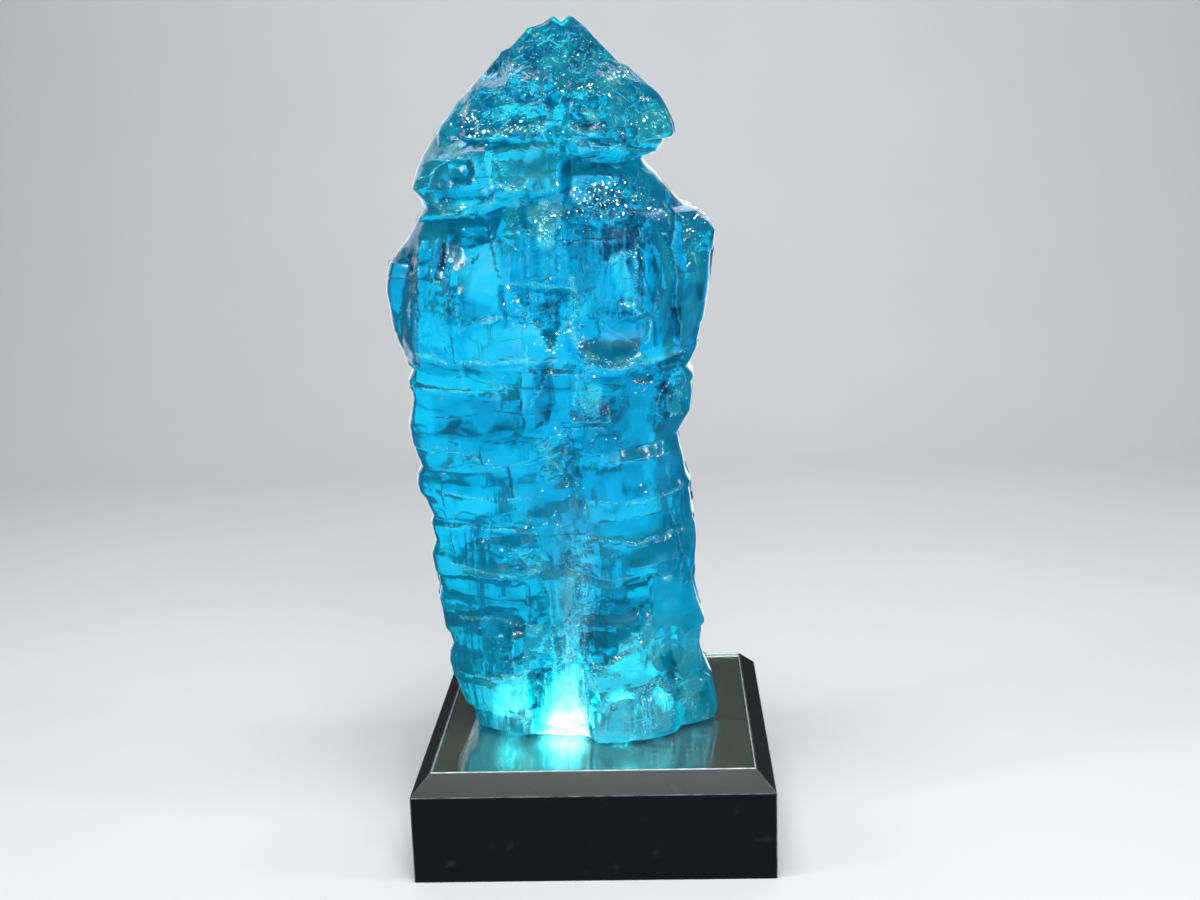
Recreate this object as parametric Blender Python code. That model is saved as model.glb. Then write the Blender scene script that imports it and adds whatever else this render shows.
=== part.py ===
# Aquamarine crystal standing on a black, chamfered plinth with a glass top and a lamp inside.
# Metres, +Z up. The origin is the middle of the plinth's underside and -Y is the front.

import itertools
import math

import bmesh
import bpy
import numpy as np
from mathutils import Vector

MM = 0.001
GAP = 0.3 * MM

# Plinth
PLINTH_WIDTH = 254 * MM
PLINTH_HEIGHT = 77 * MM
CHAMFER = 13 * MM
BOARD_THICKNESS = 22 * MM
GLASS_THICKNESS = 6 * MM
TOP_BOARD_THICKNESS = 6 * MM
BASE_BOARD_THICKNESS = 9 * MM

# Lamp
LAMP_HOLE_DIAMETER = 56 * MM
LAMP_DIAMETER = 50 * MM
LAMP_HEIGHT = 44 * MM
LAMP_RIM = 2 * MM
LENS_THICKNESS = 3 * MM
LAMP_SIDES = 32

# Crystal: rows of (height above the glass, reach from the middle of the plinth), in millimetres
RIGHT_REACH = (
    (0, 89), (8, 91), (21, 88), (33, 85), (36, 82), (48, 81), (60, 79), (70, 81), (79, 81), (92, 77),
    (108, 74), (129, 76), (142, 77), (151, 77), (160, 75), (181, 73), (189, 69), (203, 67), (212, 65),
    (220, 64), (228, 69), (236, 75), (250, 77), (263, 76), (268, 72), (272, 75), (281, 80), (299, 85),
    (315, 88), (332, 91), (347, 92), (365, 94), (372, 90), (379, 82), (382, 72), (390, 65), (398, 59),
    (404, 54), (410, 47), (414, 44), (416, 46), (417, 51), (419, 55), (424, 59), (427, 61), (428, 67),
    (431, 69), (438, 68), (448, 63), (459, 56), (469, 47), (478, 36), (480, 31), (489, 22), (497, 14),
    (504, 8), (511, 0), (512, -2),
)
LEFT_REACH = (
    (0, 92), (14, 94), (18, 99), (28, 103), (39, 107), (49, 109), (60, 109), (66, 107), (77, 110),
    (89, 112), (100, 114), (109, 112), (122, 115), (133, 117), (144, 114), (157, 117), (164, 115),
    (177, 121), (188, 124), (196, 123), (201, 120), (212, 124), (220, 127), (231, 129), (241, 127),
    (250, 125), (263, 127), (271, 123), (275, 127), (283, 130), (294, 135), (307, 137), (328, 140),
    (340, 138), (348, 136), (352, 131), (364, 121), (377, 114), (386, 108), (391, 110), (399, 117),
    (411, 113), (418, 110), (427, 106), (438, 99), (448, 91), (457, 83), (468, 73), (478, 63),
    (487, 54), (490, 52), (492, 46), (497, 41), (505, 33), (506, 29), (508, 22), (511, 18), (512, 16),
)
FRONT_REACH = (
    (0, 62), (40, 62), (80, 63), (150, 65), (220, 67), (262, 67), (275, 71), (330, 77), (365, 75),
    (385, 65), (405, 64), (430, 56), (460, 40), (485, 25), (509, 11),
)
BACK_REACH = (
    (0, 62), (40, 66), (100, 72), (200, 74), (262, 74), (280, 80), (340, 84), (375, 78), (400, 70),
    (440, 54), (470, 38), (495, 20), (509, 10),
)
MIDDLE = ((0, 0), (400, -4), (512, -10))
TIP_HEIGHT = 512
TIP_NOTCH = 3
# The dip between the tip's two peaks, as (across, half width, depth, how far down it reaches)
TIP_DIP = (-9, 5, 4, 22)

# Crystal: the faces of its irregular prism's section, as (direction in degrees, distance)
SECTION_FACES = (
    (2, 1.0), (56, 1.03), (116, 0.98), (179, 1.0), (226, 1.05), (264, 0.97), (313, 1.02),
)
CORNER_SHARPNESS = 26

# Crystal: blocks that stand out of its front, as (across, height, half width, half height,
# how far out), in millimetres, from the tip down
FRONT_BLOCKS = (
    (-24, 487, 22, 24, 2), (14, 480, 20, 28, 3),
    (-46, 453, 30, 22, 9), (-76, 442, 22, 22, 4), (28, 449, 34, 24, 8), (56, 437, 15, 13, 8),
    (-88, 405, 33, 22, 12), (-38, 413, 25, 18, 7), (12, 424, 20, 12, 3),
    (30, 398, 34, 20, 2), (78, 368, 18, 22, 5),
    (-125, 325, 15, 42, 4), (-101, 300, 20, 27, 10), (-74, 330, 40, 53, 8), (-34, 348, 22, 37, 7),
    (-32, 298, 30, 22, 5), (46, 327, 50, 55, 9), (32, 345, 11, 34, 12), (80, 330, 15, 46, 11),
    (-86, 267, 42, 9, 3), (-24, 254, 20, 27, 9), (5, 251, 13, 14, 8), (36, 244, 37, 33, 6),
    (70, 258, 14, 20, 8),
    (-90, 238, 38, 24, 5), (-52, 236, 26, 28, 4), (-84, 192, 44, 22, 7), (-30, 192, 24, 28, 4),
    (24, 192, 36, 26, 7), (72, 165, 14, 48, 6),
    (-78, 162, 38, 13, 4), (-20, 158, 22, 22, 7), (38, 160, 30, 12, 4),
    (-82, 138, 40, 15, 7), (-38, 136, 20, 18, 3), (30, 138, 34, 15, 6),
    (-82, 106, 38, 19, 5), (-44, 104, 22, 22, 2), (-16, 106, 16, 26, 6), (18, 104, 26, 22, 8),
    (62, 98, 26, 26, 5),
    (-86, 66, 32, 23, 12), (-48, 66, 22, 22, 8), (10, 76, 27, 20, 14), (26, 50, 26, 16, 11),
    (70, 60, 20, 24, 5),
    (-58, 21, 42, 25, 4), (-24, 24, 18, 28, 2), (12, 15, 17, 22, 13), (41, 17, 18, 21, 8),
    (76, 24, 22, 24, 4),
)
BLOCK_EDGE_DROP = 8
# How much of a block is flat, to its sides, above and below
BLOCK_FLAT = (0.82, 0.55, 0.88)
BETWEEN_BLOCKS = -2.5
BLOCK_SPREAD = 1.12
SIDE_BLOCKS_SUNK = 1
SIDE_RELIEF = 0.5
BLOCK_LEAN = 0.16
BLOCK_TURN = math.radians(11)

# Crystal: broken faces all over, between sharp ridges. Each leans its own way and is hollowed a
# little.
FACE_WIDTH = 34
FACE_HEIGHT = 26
FACE_DEPTH = 8
FACE_LEAN = 0.5
FACE_HOLLOW = 0.3
FACE_LOWEST = 0.35

# Crystal: hollows broken out of its front, as (across, height, half width, half height, depth)
FRONT_HOLLOWS = (
    (26, 330, 41, 54, 13), (18, 300, 25, 23, 7), (55, 64, 13, 18, 13),
    (-58, 478, 16, 12, 5), (10, 457, 12, 17, 5), (-46, 444, 20, 9, 4), (60, 262, 12, 10, 8),
    (-92, 345, 20, 28, 4), (44, 218, 22, 12, 5), (-4, 214, 14, 18, 5),
)

# Crystal: a three-sided pit in its front, with its corners as (across, height)
PIT_CORNERS = ((-49, 336), (-4, 331), (-20, 288))
PIT_DEPTH = 9
PIT_STEEPNESS = 1.6

# Crystal: the cleft that runs down its front, as (height, across, half width, depth)
CLEFT = (
    (512, -9, 6, 3), (470, -4, 8, 5), (425, -11, 8, 5), (370, -9, 8, 5), (330, -4, 8, 4),
    (276, -10, 8, 3), (215, -8, 8, 3), (150, -3, 9, 3), (100, -3, 9, 5), (60, -14, 10, 12),
    (30, -12, 9, 13), (0, -6, 8, 15),
)

# Crystal: tiers of blocks round its sides and back, as (height, half height)
TIERS = (
    (20, 22), (62, 24), (104, 24), (142, 18), (172, 18), (204, 22), (242, 24), (290, 26), (335, 28),
    (378, 22), (408, 20), (444, 22), (482, 24),
)
BLOCKS_ACROSS = 4
BACK_HALF_SPAN = 120
SIDE_HALF_SPAN = 85
TIER_START = 0.6
TIER_STRAY_ASIDE = 0.12
TIER_STRAY_UP = 5
TIER_HALF_WIDTH = (0.52, 0.72)
TIER_HALF_HEIGHT = (0.95, 1.2)
TIER_STAND_OUT = 9
SEED = 21

RING_POINTS = 170
RINGS = 170
LEDGE_WANDER = 4
LEDGE_WAVES = 3
LEDGE_TWIST = 31
# The front's and the back's relief fade out towards the sides
FRONT_STEEPNESS = 2.2
FRONT_START = 0.4
# The relief is lower near the tip: how far above the tip it ends, over how much, and the least
TIP_RELIEF = (12, 80, 0.12)
FOOT_BEVEL = 1.5
CRYSTAL_TRIANGLES = 8600


def clear_scene():
    for thing in list(bpy.data.objects):
        bpy.data.objects.remove(thing, do_unlink=True)


def material(name, colour, roughness, metallic=0.0, transmission=0.0, ior=1.5):
    made = bpy.data.materials.new(name)
    made.use_nodes = True
    shader = made.node_tree.nodes["Principled BSDF"]
    shader.inputs["Base Color"].default_value = (*colour, 1.0)
    shader.inputs["Roughness"].default_value = roughness
    shader.inputs["Metallic"].default_value = metallic
    shader.inputs["Transmission Weight"].default_value = transmission
    shader.inputs["IOR"].default_value = ior
    return made


def add_object(name, shape, finish, collection):
    mesh = bpy.data.meshes.new(name)
    bmesh.ops.recalc_face_normals(shape, faces=shape.faces)
    shape.to_mesh(mesh)
    shape.free()
    mesh.materials.append(finish)
    thing = bpy.data.objects.new(name, mesh)
    collection.objects.link(thing)
    return thing


def mitred_board(name, turn, finish, collection):
    """A plinth board: its section, pulled out to both mitred ends. The rebate is on its inside."""
    outside = PLINTH_WIDTH / 2
    rebate_wall = outside - CHAMFER
    inside = outside - BOARD_THICKNESS
    rebate_floor = PLINTH_HEIGHT - GLASS_THICKNESS - TOP_BOARD_THICKNESS - 2 * GAP
    section = (
        (outside, 0.0), (outside, PLINTH_HEIGHT - CHAMFER), (rebate_wall, PLINTH_HEIGHT),
        (rebate_wall, rebate_floor), (inside, rebate_floor), (inside, 0.0),
    )
    shape = bmesh.new()
    corners = [shape.verts.new((-(reach - GAP), -reach, height)) for reach, height in section]
    end = shape.faces.new(corners)
    pulled = bmesh.ops.extrude_face_region(shape, geom=[end], use_keep_orig=True)
    for part in pulled["geom"]:
        if isinstance(part, bmesh.types.BMVert):
            part.co.x = -part.co.x
    board = add_object(name, shape, finish, collection)
    board.rotation_euler.z = turn
    return board


def plate(name, width, thickness, bottom, finish, collection):
    shape = bmesh.new()
    bmesh.ops.create_cube(shape, size=1.0)
    bmesh.ops.scale(shape, vec=(width, width, thickness), verts=shape.verts)
    slab = add_object(name, shape, finish, collection)
    slab.location.z = bottom + thickness / 2
    return slab


def disc(name, diameter, thickness, bottom, finish, collection):
    shape = bmesh.new()
    bmesh.ops.create_cone(
        shape, cap_ends=True, segments=LAMP_SIDES, radius1=diameter / 2, radius2=diameter / 2,
        depth=thickness,
    )
    thing = add_object(name, shape, finish, collection)
    thing.location.z = bottom + thickness / 2
    return thing


def cut(thing, cutter):
    cutter.hide_render = True
    cutter.display_type = "WIRE"
    hole = thing.modifiers.new("hole", "BOOLEAN")
    hole.operation = "DIFFERENCE"
    hole.solver = "EXACT"
    hole.object = cutter


def build_plinth(collection, cutters):
    black = material("black_lacquer", (0.012, 0.015, 0.015), 0.38)
    polished = material("polished_black", (0.02, 0.03, 0.03), 0.06)
    glass = material("clear_glass", (0.86, 0.95, 0.92), 0.02, transmission=1.0, ior=1.52)
    for number, side in enumerate(("front", "right", "back", "left")):
        mitred_board("plinth_" + side, number * math.pi / 2, black, collection)
    inside = PLINTH_WIDTH - 2 * BOARD_THICKNESS - 2 * GAP
    plate("base_board", inside, BASE_BOARD_THICKNESS, 0.0, black, collection)
    top_width = PLINTH_WIDTH - 2 * CHAMFER - 2 * GAP
    glass_bottom = PLINTH_HEIGHT - GLASS_THICKNESS
    board_bottom = glass_bottom - GAP - TOP_BOARD_THICKNESS
    top_board = plate("top_board", top_width, TOP_BOARD_THICKNESS, board_bottom, polished, collection)
    hole_cutter = disc(
        "lamp_hole_cutter", LAMP_HOLE_DIAMETER, 3 * TOP_BOARD_THICKNESS,
        board_bottom - TOP_BOARD_THICKNESS, black, cutters,
    )
    cut(top_board, hole_cutter)
    plate("glass_plate", top_width, GLASS_THICKNESS, glass_bottom, glass, collection)


def build_lamp(collection, cutters):
    metal = material("lamp_metal", (0.55, 0.56, 0.57), 0.35, metallic=1.0)
    lens = material("frosted_lens", (0.95, 0.97, 1.0), 0.5)
    bottom = BASE_BOARD_THICKNESS + GAP
    housing = disc("lamp_housing", LAMP_DIAMETER, LAMP_HEIGHT, bottom, metal, collection)
    lens_bottom = bottom + LAMP_HEIGHT - LENS_THICKNESS
    recess_cutter = disc(
        "lens_recess_cutter", LAMP_DIAMETER - 2 * LAMP_RIM, 2 * LENS_THICKNESS,
        lens_bottom, metal, cutters,
    )
    cut(housing, recess_cutter)
    lens_width = LAMP_DIAMETER - 2 * LAMP_RIM - 2 * GAP
    disc("lamp_lens", lens_width, LENS_THICKNESS, lens_bottom + GAP, lens, collection)


def read(rows, height):
    """The value beside a height in rows of (height, value), on a straight line between rows."""
    heights, values = zip(*rows)
    return np.interp(height, heights, values)


def section_reach(angle):
    """Distance from the axis to the section's wall, with its corners a little rounded."""
    total = np.zeros_like(angle)
    for direction, distance in SECTION_FACES:
        facing = np.maximum(np.cos(angle - math.radians(direction)), 0.0)
        total += (facing / distance) ** CORNER_SHARPNESS
    return total ** (-1.0 / CORNER_SHARPNESS)


def blocks_out(across, height, blocks):
    """How far the blocks stand out: each is flat and breaks off on all sides, most sharply below,
    and the highest one shows."""
    chance = np.random.default_rng(SEED)
    out = np.full_like(height, BETWEEN_BLOCKS)
    for block_across, block_height, half_width, half_height, stand_out in blocks:
        turn = chance.uniform(-BLOCK_TURN, BLOCK_TURN)
        lean_aside, lean_up = chance.uniform(-BLOCK_LEAN, BLOCK_LEAN, 2)
        from_middle, from_level = across - block_across, height - block_height
        aside = from_middle * math.cos(turn) + from_level * math.sin(turn)
        above = from_level * math.cos(turn) - from_middle * math.sin(turn)
        aside_share = aside / (half_width * BLOCK_SPREAD)
        up_share = above / (half_height * BLOCK_SPREAD)
        drop = np.zeros_like(height)
        for share, flat in zip((np.abs(aside_share), up_share, -up_share), BLOCK_FLAT):
            drop += np.maximum(share - flat, 0.0) / (1 - flat)
        face = stand_out + lean_aside * aside + lean_up * above
        out = np.maximum(out, face - BLOCK_EDGE_DROP * drop)
    return out


def hollows_in(across, height):
    """Depth of the bowls that broke out of the front, each with a sharp rim."""
    depth = np.zeros_like(height)
    for middle, level, half_width, half_height, deepest in FRONT_HOLLOWS:
        reach = ((across - middle) / half_width) ** 2 + ((height - level) / half_height) ** 2
        depth += deepest * np.maximum(1.0 - reach, 0.0)
    return depth


def pit_in(across, height):
    """Depth of the three-sided pit."""
    depth = np.full_like(height, PIT_DEPTH)
    for (x0, z0), (x1, z1) in zip(PIT_CORNERS, PIT_CORNERS[1:] + PIT_CORNERS[:1]):
        within = (z1 - z0) * (across - x0) - (x1 - x0) * (height - z0)
        depth = np.minimum(depth, PIT_STEEPNESS * within / math.hypot(x1 - x0, z1 - z0))
    return np.maximum(depth, 0.0)


def cleft_in(across, height):
    """Depth of the V-shaped cleft between the left and right halves of the front."""
    rows = CLEFT[::-1]
    middle = read([(row[0], row[1]) for row in rows], height)
    half_width = read([(row[0], row[2]) for row in rows], height)
    deepest = read([(row[0], row[3]) for row in rows], height)
    return deepest * np.maximum(1.0 - np.abs(across - middle) / half_width, 0.0)


def tier_blocks(chance, half_span):
    """Blocks in level tiers, like bricks, for a side of the crystal that the front doesn't show."""
    blocks = []
    for level, half_height in TIERS:
        pitch = 2 * half_span / BLOCKS_ACROSS
        start = -half_span + pitch * chance.uniform(0.0, TIER_START)
        for number in range(BLOCKS_ACROSS):
            middle = start + pitch * (number + chance.uniform(-TIER_STRAY_ASIDE, TIER_STRAY_ASIDE))
            blocks.append((
                middle, level + chance.uniform(-TIER_STRAY_UP, TIER_STRAY_UP),
                pitch * chance.uniform(*TIER_HALF_WIDTH), half_height * chance.uniform(*TIER_HALF_HEIGHT),
                chance.uniform(0, TIER_STAND_OUT),
            ))
    return blocks


def cell_numbers(cell, layer):
    """Three random numbers from 0 to 1 for each cell, the same each time for the same cell."""
    mixed = cell[0] * 73856093 ^ cell[1] * 19349663 ^ cell[2] * 83492791 ^ layer * 49979687
    for factor in (1274126177, 2246822519):
        mixed = (mixed ^ mixed >> 13) * factor & 0xFFFFFFFF
    return np.array([(mixed >> shift & 1023) / 1023 for shift in (0, 10, 20)])


def faces_in(x, y, z):
    """Depth of the broken faces, which meet in sharp ridges."""
    place = np.array((x / FACE_WIDTH, y / FACE_WIDTH, z / FACE_HEIGHT))
    cell = np.floor(place).astype(np.int64)
    lowest = np.full_like(z, np.inf)
    for step in itertools.product((-1, 0, 1), repeat=3):
        neighbour = cell + np.array(step)[:, None]
        way = place - neighbour - cell_numbers(neighbour, 1)
        lean = 2 * cell_numbers(neighbour, 2) - 1
        face = FACE_LEAN * (lean * way).sum(axis=0) + FACE_HOLLOW * (way ** 2).sum(axis=0)
        lowest = np.minimum(lowest, face)
    return FACE_DEPTH * (FACE_LOWEST - lowest)


def crystal_points(angle, height):
    """Places on the crystal's surface, in millimetres from the middle of the glass."""
    reach = section_reach(angle)
    across, deep = reach * np.cos(angle), reach * np.sin(angle)
    across = np.where(across > 0, across / across.max(), across / -across.min())
    deep = np.where(deep > 0, deep / deep.max(), deep / -deep.min())
    middle = read(MIDDLE, height)
    right, left = read(RIGHT_REACH, height) - middle, read(LEFT_REACH, height) + middle
    x = across * np.where(across > 0, right, left)
    y = deep * np.where(deep > 0, read(BACK_REACH, height), read(FRONT_REACH, height))

    turned = np.sin(angle)
    wander = LEDGE_WANDER * np.sin(LEDGE_WAVES * angle + height / LEDGE_TWIST) * turned ** 2
    z = height + wander * np.sin(math.pi * height / TIP_HEIGHT)
    across_dip, half_width, deepest, reach_down = TIP_DIP
    in_dip = np.clip(1 - np.abs(x + middle - across_dip) / half_width, 0.0, 1.0)
    z -= deepest * in_dip * np.clip(1 - (TIP_HEIGHT - height) / reach_down, 0.0, 1.0)
    chance = np.random.default_rng(SEED)
    back_blocks, side_blocks = tier_blocks(chance, BACK_HALF_SPAN), tier_blocks(chance, SIDE_HALF_SPAN)
    front = blocks_out(x + middle, z, FRONT_BLOCKS)
    front -= hollows_in(x + middle, z) + pit_in(x + middle, z) + cleft_in(x + middle, z)
    back = blocks_out(x, z, back_blocks)
    sides = blocks_out(y, z, side_blocks) - SIDE_BLOCKS_SUNK
    front_share = np.clip(-FRONT_STEEPNESS * turned - FRONT_START, 0.0, 1.0)
    back_share = np.clip(FRONT_STEEPNESS * turned - FRONT_START, 0.0, 1.0)
    side_share = SIDE_RELIEF * (1.0 - front_share - back_share)
    faces = faces_in(x, y, z)
    above_tip, fade, least = TIP_RELIEF
    relief = np.clip((TIP_HEIGHT + above_tip - height) / fade, least, 1.0)
    x_out = (sides - faces) * side_share * np.sign(x) * relief
    y_out = ((back - faces) * back_share - (front - faces) * front_share) * relief
    return x + x_out + middle, y + y_out, z


def build_crystal(collection):
    stone = material("aquamarine", (0.25, 0.72, 0.86), 0.03, transmission=1.0, ior=1.575)
    shape = bmesh.new()
    bmesh.ops.create_uvsphere(shape, u_segments=RING_POINTS, v_segments=RINGS, radius=1.0)
    glass_top = PLINTH_HEIGHT + GAP
    tip = Vector((MIDDLE[-1][1] * MM, 0.0, (TIP_HEIGHT - TIP_NOTCH) * MM + glass_top))
    points, angles, heights = [], [], []
    for point in shape.verts:
        ring = round(math.acos(max(-1.0, min(1.0, -point.co.z))) / math.pi * RINGS)
        if ring in (0, RINGS):
            point.co = tip if ring else Vector((0.0, 0.0, glass_top))
            continue
        points.append(point)
        angles.append(math.atan2(point.co.y, point.co.x))
        heights.append(TIP_HEIGHT * (ring - 1) / (RINGS - 2))
    places = crystal_points(np.array(angles), np.array(heights))
    for point, height, x, y, z in zip(points, heights, *places):
        pull_in = 1.0 if height else 1 - FOOT_BEVEL / math.hypot(x, y)
        point.co = (x * pull_in * MM, y * pull_in * MM, z * MM + glass_top)
    triangles = 2 * RING_POINTS * (RINGS - 1)
    crystal = add_object("crystal", shape, stone, collection)
    facets = crystal.modifiers.new("facets", "DECIMATE")
    facets.ratio = CRYSTAL_TRIANGLES / triangles


clear_scene()
parts = bpy.data.collections.new("aquamarine_crystal")
cutting = bpy.data.collections.new("cutters")
bpy.context.scene.collection.children.link(parts)
bpy.context.scene.collection.children.link(cutting)
build_plinth(parts, cutting)
build_lamp(parts, cutting)
build_crystal(parts)
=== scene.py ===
# An aquamarine crystal standing on a black, chamfered plinth with a glass top and a lamp inside.

import itertools
import math

import bmesh
import bpy
import numpy as np
from mathutils import Matrix, Vector, noise


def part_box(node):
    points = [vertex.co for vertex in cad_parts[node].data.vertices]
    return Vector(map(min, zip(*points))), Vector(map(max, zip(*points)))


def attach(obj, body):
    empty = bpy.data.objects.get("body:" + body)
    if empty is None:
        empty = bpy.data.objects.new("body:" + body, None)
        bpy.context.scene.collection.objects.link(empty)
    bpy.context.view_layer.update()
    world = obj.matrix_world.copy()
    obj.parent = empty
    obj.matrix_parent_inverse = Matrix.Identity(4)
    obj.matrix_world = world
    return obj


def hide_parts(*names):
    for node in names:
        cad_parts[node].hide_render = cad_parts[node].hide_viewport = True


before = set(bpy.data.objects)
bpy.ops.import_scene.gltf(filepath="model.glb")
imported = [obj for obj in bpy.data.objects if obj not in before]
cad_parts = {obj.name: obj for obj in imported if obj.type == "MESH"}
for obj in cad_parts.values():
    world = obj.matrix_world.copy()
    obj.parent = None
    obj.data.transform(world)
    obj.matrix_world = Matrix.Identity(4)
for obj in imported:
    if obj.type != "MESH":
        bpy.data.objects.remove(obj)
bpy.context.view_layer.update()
MM = 0.001
scene = bpy.context.scene
scene.view_settings.view_transform = "Standard"


# The camera stands where the photograph was taken: a little to the right of the middle, at the
# height of the crystal's tip, looking down. Its place and angles come from the plinth's edges.
CAMERA_PLACE = Vector((0.0545, -1.0967, 0.528))
CAMERA_YAW = math.radians(-2.44)
CAMERA_PITCH = math.radians(12.74)
CAMERA_ROLL = math.radians(-1.88)
FOCAL_PIXELS = 1522
FRAME_WIDTH_PIXELS = 1200
SENSOR_WIDTH = 36

lens = bpy.data.cameras.new("view")
lens.sensor_width = SENSOR_WIDTH
lens.lens = FOCAL_PIXELS * SENSOR_WIDTH / FRAME_WIDTH_PIXELS
camera = bpy.data.objects.new("view", lens)
scene.collection.objects.link(camera)
scene.camera = camera
forward = Vector((
    math.sin(CAMERA_YAW) * math.cos(CAMERA_PITCH),
    math.cos(CAMERA_YAW) * math.cos(CAMERA_PITCH),
    -math.sin(CAMERA_PITCH),
))
level_right = Vector((math.cos(CAMERA_YAW), -math.sin(CAMERA_YAW), 0.0))
level_up = level_right.cross(forward)
right = level_right * math.cos(CAMERA_ROLL) + level_up * math.sin(CAMERA_ROLL)
up = level_up * math.cos(CAMERA_ROLL) - level_right * math.sin(CAMERA_ROLL)
facing_way = Matrix((right, up, -forward)).transposed().to_4x4()
camera.matrix_world = Matrix.Translation(CAMERA_PLACE) @ facing_way


# The plinth's four boards: fibre board cut with a chamfer and a rebate, mitred, glued and sprayed
# with satin black lacquer. The arrises are rubbed a little and catch the light; their grey is partly
# that wear and partly a painted highlight.
BOARD_ARRIS = 0.5 * MM
MITRE_GAP = 0.3 * MM
LACQUER_BLACK = (0.0045, 0.006, 0.006, 1.0)
LACQUER_WORN = (0.03, 0.032, 0.032, 1.0)
ARRIS_WEAR_AND_HIGHLIGHT = (0.16, 0.17, 0.17, 1.0)
LACQUER_ROUGHNESS = (0.26, 0.42)


def new_material(name):
    made = bpy.data.materials.new(name)
    made.use_nodes = True
    nodes = made.node_tree.nodes
    return made, nodes, made.node_tree.links, nodes["Principled BSDF"]


def add_node(nodes, kind, **inputs):
    made = nodes.new(kind)
    for name, value in inputs.items():
        made.inputs[name.replace("_", " ")].default_value = value
    return made


def ramp(nodes, links, source, stops):
    """A colour ramp on source, with stops of (place, colour)."""
    made = nodes.new("ShaderNodeValToRGB")
    elements = made.color_ramp.elements
    while len(elements) < len(stops):
        elements.new(0.5)
    for element, (place, colour) in zip(elements, stops):
        element.position = place
        element.color = colour
    links.new(source, made.inputs["Fac"])
    return made.outputs["Color"]


def mixed_colour(nodes, links, share, first, second):
    """first turned towards second by share. Both are colours or sockets."""
    made = nodes.new("ShaderNodeMix")
    made.data_type = "RGBA"
    for name, value in (("A", first), ("B", second)):
        socket = next(one for one in made.inputs if one.name == name and one.type == "RGBA")
        if isinstance(value, tuple):
            socket.default_value = value
        else:
            links.new(value, socket)
    links.new(share, made.inputs["Factor"])
    return next(one for one in made.outputs if one.type == "RGBA")


def spread(nodes, links, source, low, high):
    """source, from 0 to 1, spread between low and high."""
    made = nodes.new("ShaderNodeMapRange")
    made.inputs["To Min"].default_value = low
    made.inputs["To Max"].default_value = high
    links.new(source, made.inputs["Value"])
    return made.outputs["Result"]


def object_noise(nodes, links, scale, detail=3.0, stretch=(1.0, 1.0, 1.0)):
    """Noise on the object's own coordinates, in cycles per metre."""
    place = nodes.new("ShaderNodeTexCoord")
    mapping = nodes.new("ShaderNodeMapping")
    mapping.inputs["Scale"].default_value = stretch
    links.new(place.outputs["Object"], mapping.inputs["Vector"])
    made = add_node(nodes, "ShaderNodeTexNoise", Scale=scale, Detail=detail)
    links.new(mapping.outputs["Vector"], made.inputs["Vector"])
    return made.outputs["Fac"]


def bump(nodes, links, shader, height, strength, distance):
    made = add_node(nodes, "ShaderNodeBump", Strength=strength, Distance=distance)
    links.new(height, made.inputs["Height"])
    links.new(made.outputs["Normal"], shader.inputs["Normal"])
    return made


def finished_object(name, shape, material):
    mesh = bpy.data.meshes.new(name)
    bmesh.ops.recalc_face_normals(shape, faces=shape.faces)
    shape.to_mesh(mesh)
    shape.free()
    mesh.materials.append(material)
    made = bpy.data.objects.new(name, mesh)
    scene.collection.objects.link(made)
    return made


def soften_edges(thing, width, edge_material, segments=3):
    thing.data.materials.append(edge_material)
    bevel = thing.modifiers.new("arris", "BEVEL")
    bevel.width = width
    bevel.segments = segments
    bevel.limit_method = "ANGLE"
    bevel.material = 1
    thing.data.shade_smooth()
    weighted = thing.modifiers.new("flat_faces", "WEIGHTED_NORMAL")
    weighted.keep_sharp = True


def coat(node, material):
    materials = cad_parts[node].data.materials
    materials.clear()
    materials.append(material)


lacquer, nodes, links, shader = new_material("satin_black_lacquer")
shader.inputs["Specular IOR Level"].default_value = 0.5
wear = object_noise(nodes, links, 55, 5.0)
worn_black = ramp(nodes, links, wear, ((0.62, LACQUER_BLACK), (0.86, LACQUER_WORN)))
links.new(worn_black, shader.inputs["Base Color"])
handling = object_noise(nodes, links, 18, 4.0)
links.new(spread(nodes, links, handling, *LACQUER_ROUGHNESS), shader.inputs["Roughness"])
orange_peel = object_noise(nodes, links, 900, 2.0)
bump(nodes, links, shader, orange_peel, 0.12, 0.0004)

# The arrises' grey: partly rubbed lacquer, partly a painted highlight
arris_wear_and_highlight, nodes, links, shader = new_material("arris_wear_and_painted_highlight")
rubbing = object_noise(nodes, links, 140, 4.0)
links.new(ramp(nodes, links, rubbing, ((0.3, LACQUER_WORN), (0.7, ARRIS_WEAR_AND_HIGHLIGHT))), shader.inputs["Base Color"])
shader.inputs["Roughness"].default_value = 0.3

plinth_low, plinth_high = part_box("plinth_front")
outside = -plinth_low.y
plinth_height = plinth_high.z
glass_low, glass_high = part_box("glass_plate")
rebate_wall = glass_high.x + MITRE_GAP
rebate_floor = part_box("top_board")[0].z - MITRE_GAP
board_inside = -plinth_high.y
chamfer = outside - rebate_wall
BOARD_SECTION = (
    (outside, 0.0), (outside, plinth_height - chamfer), (rebate_wall, plinth_height),
    (rebate_wall, rebate_floor), (board_inside, rebate_floor), (board_inside, 0.0),
)
for number, side in enumerate(("front", "right", "back", "left")):
    shape = bmesh.new()
    end = [shape.verts.new((-(reach - MITRE_GAP), -reach, height)) for reach, height in BOARD_SECTION]
    pulled = bmesh.ops.extrude_face_region(shape, geom=[shape.faces.new(end)], use_keep_orig=True)
    for part in pulled["geom"]:
        if isinstance(part, bmesh.types.BMVert):
            part.co.x = -part.co.x
    bmesh.ops.rotate(shape, verts=shape.verts, matrix=Matrix.Rotation(number * math.pi / 2, 3, "Z"))
    board = finished_object("lacquered_board_" + side, shape, lacquer)
    soften_edges(board, BOARD_ARRIS, arris_wear_and_highlight)
    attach(board, "root")
    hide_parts("plinth_" + side)
coat("base_board", lacquer)


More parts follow.
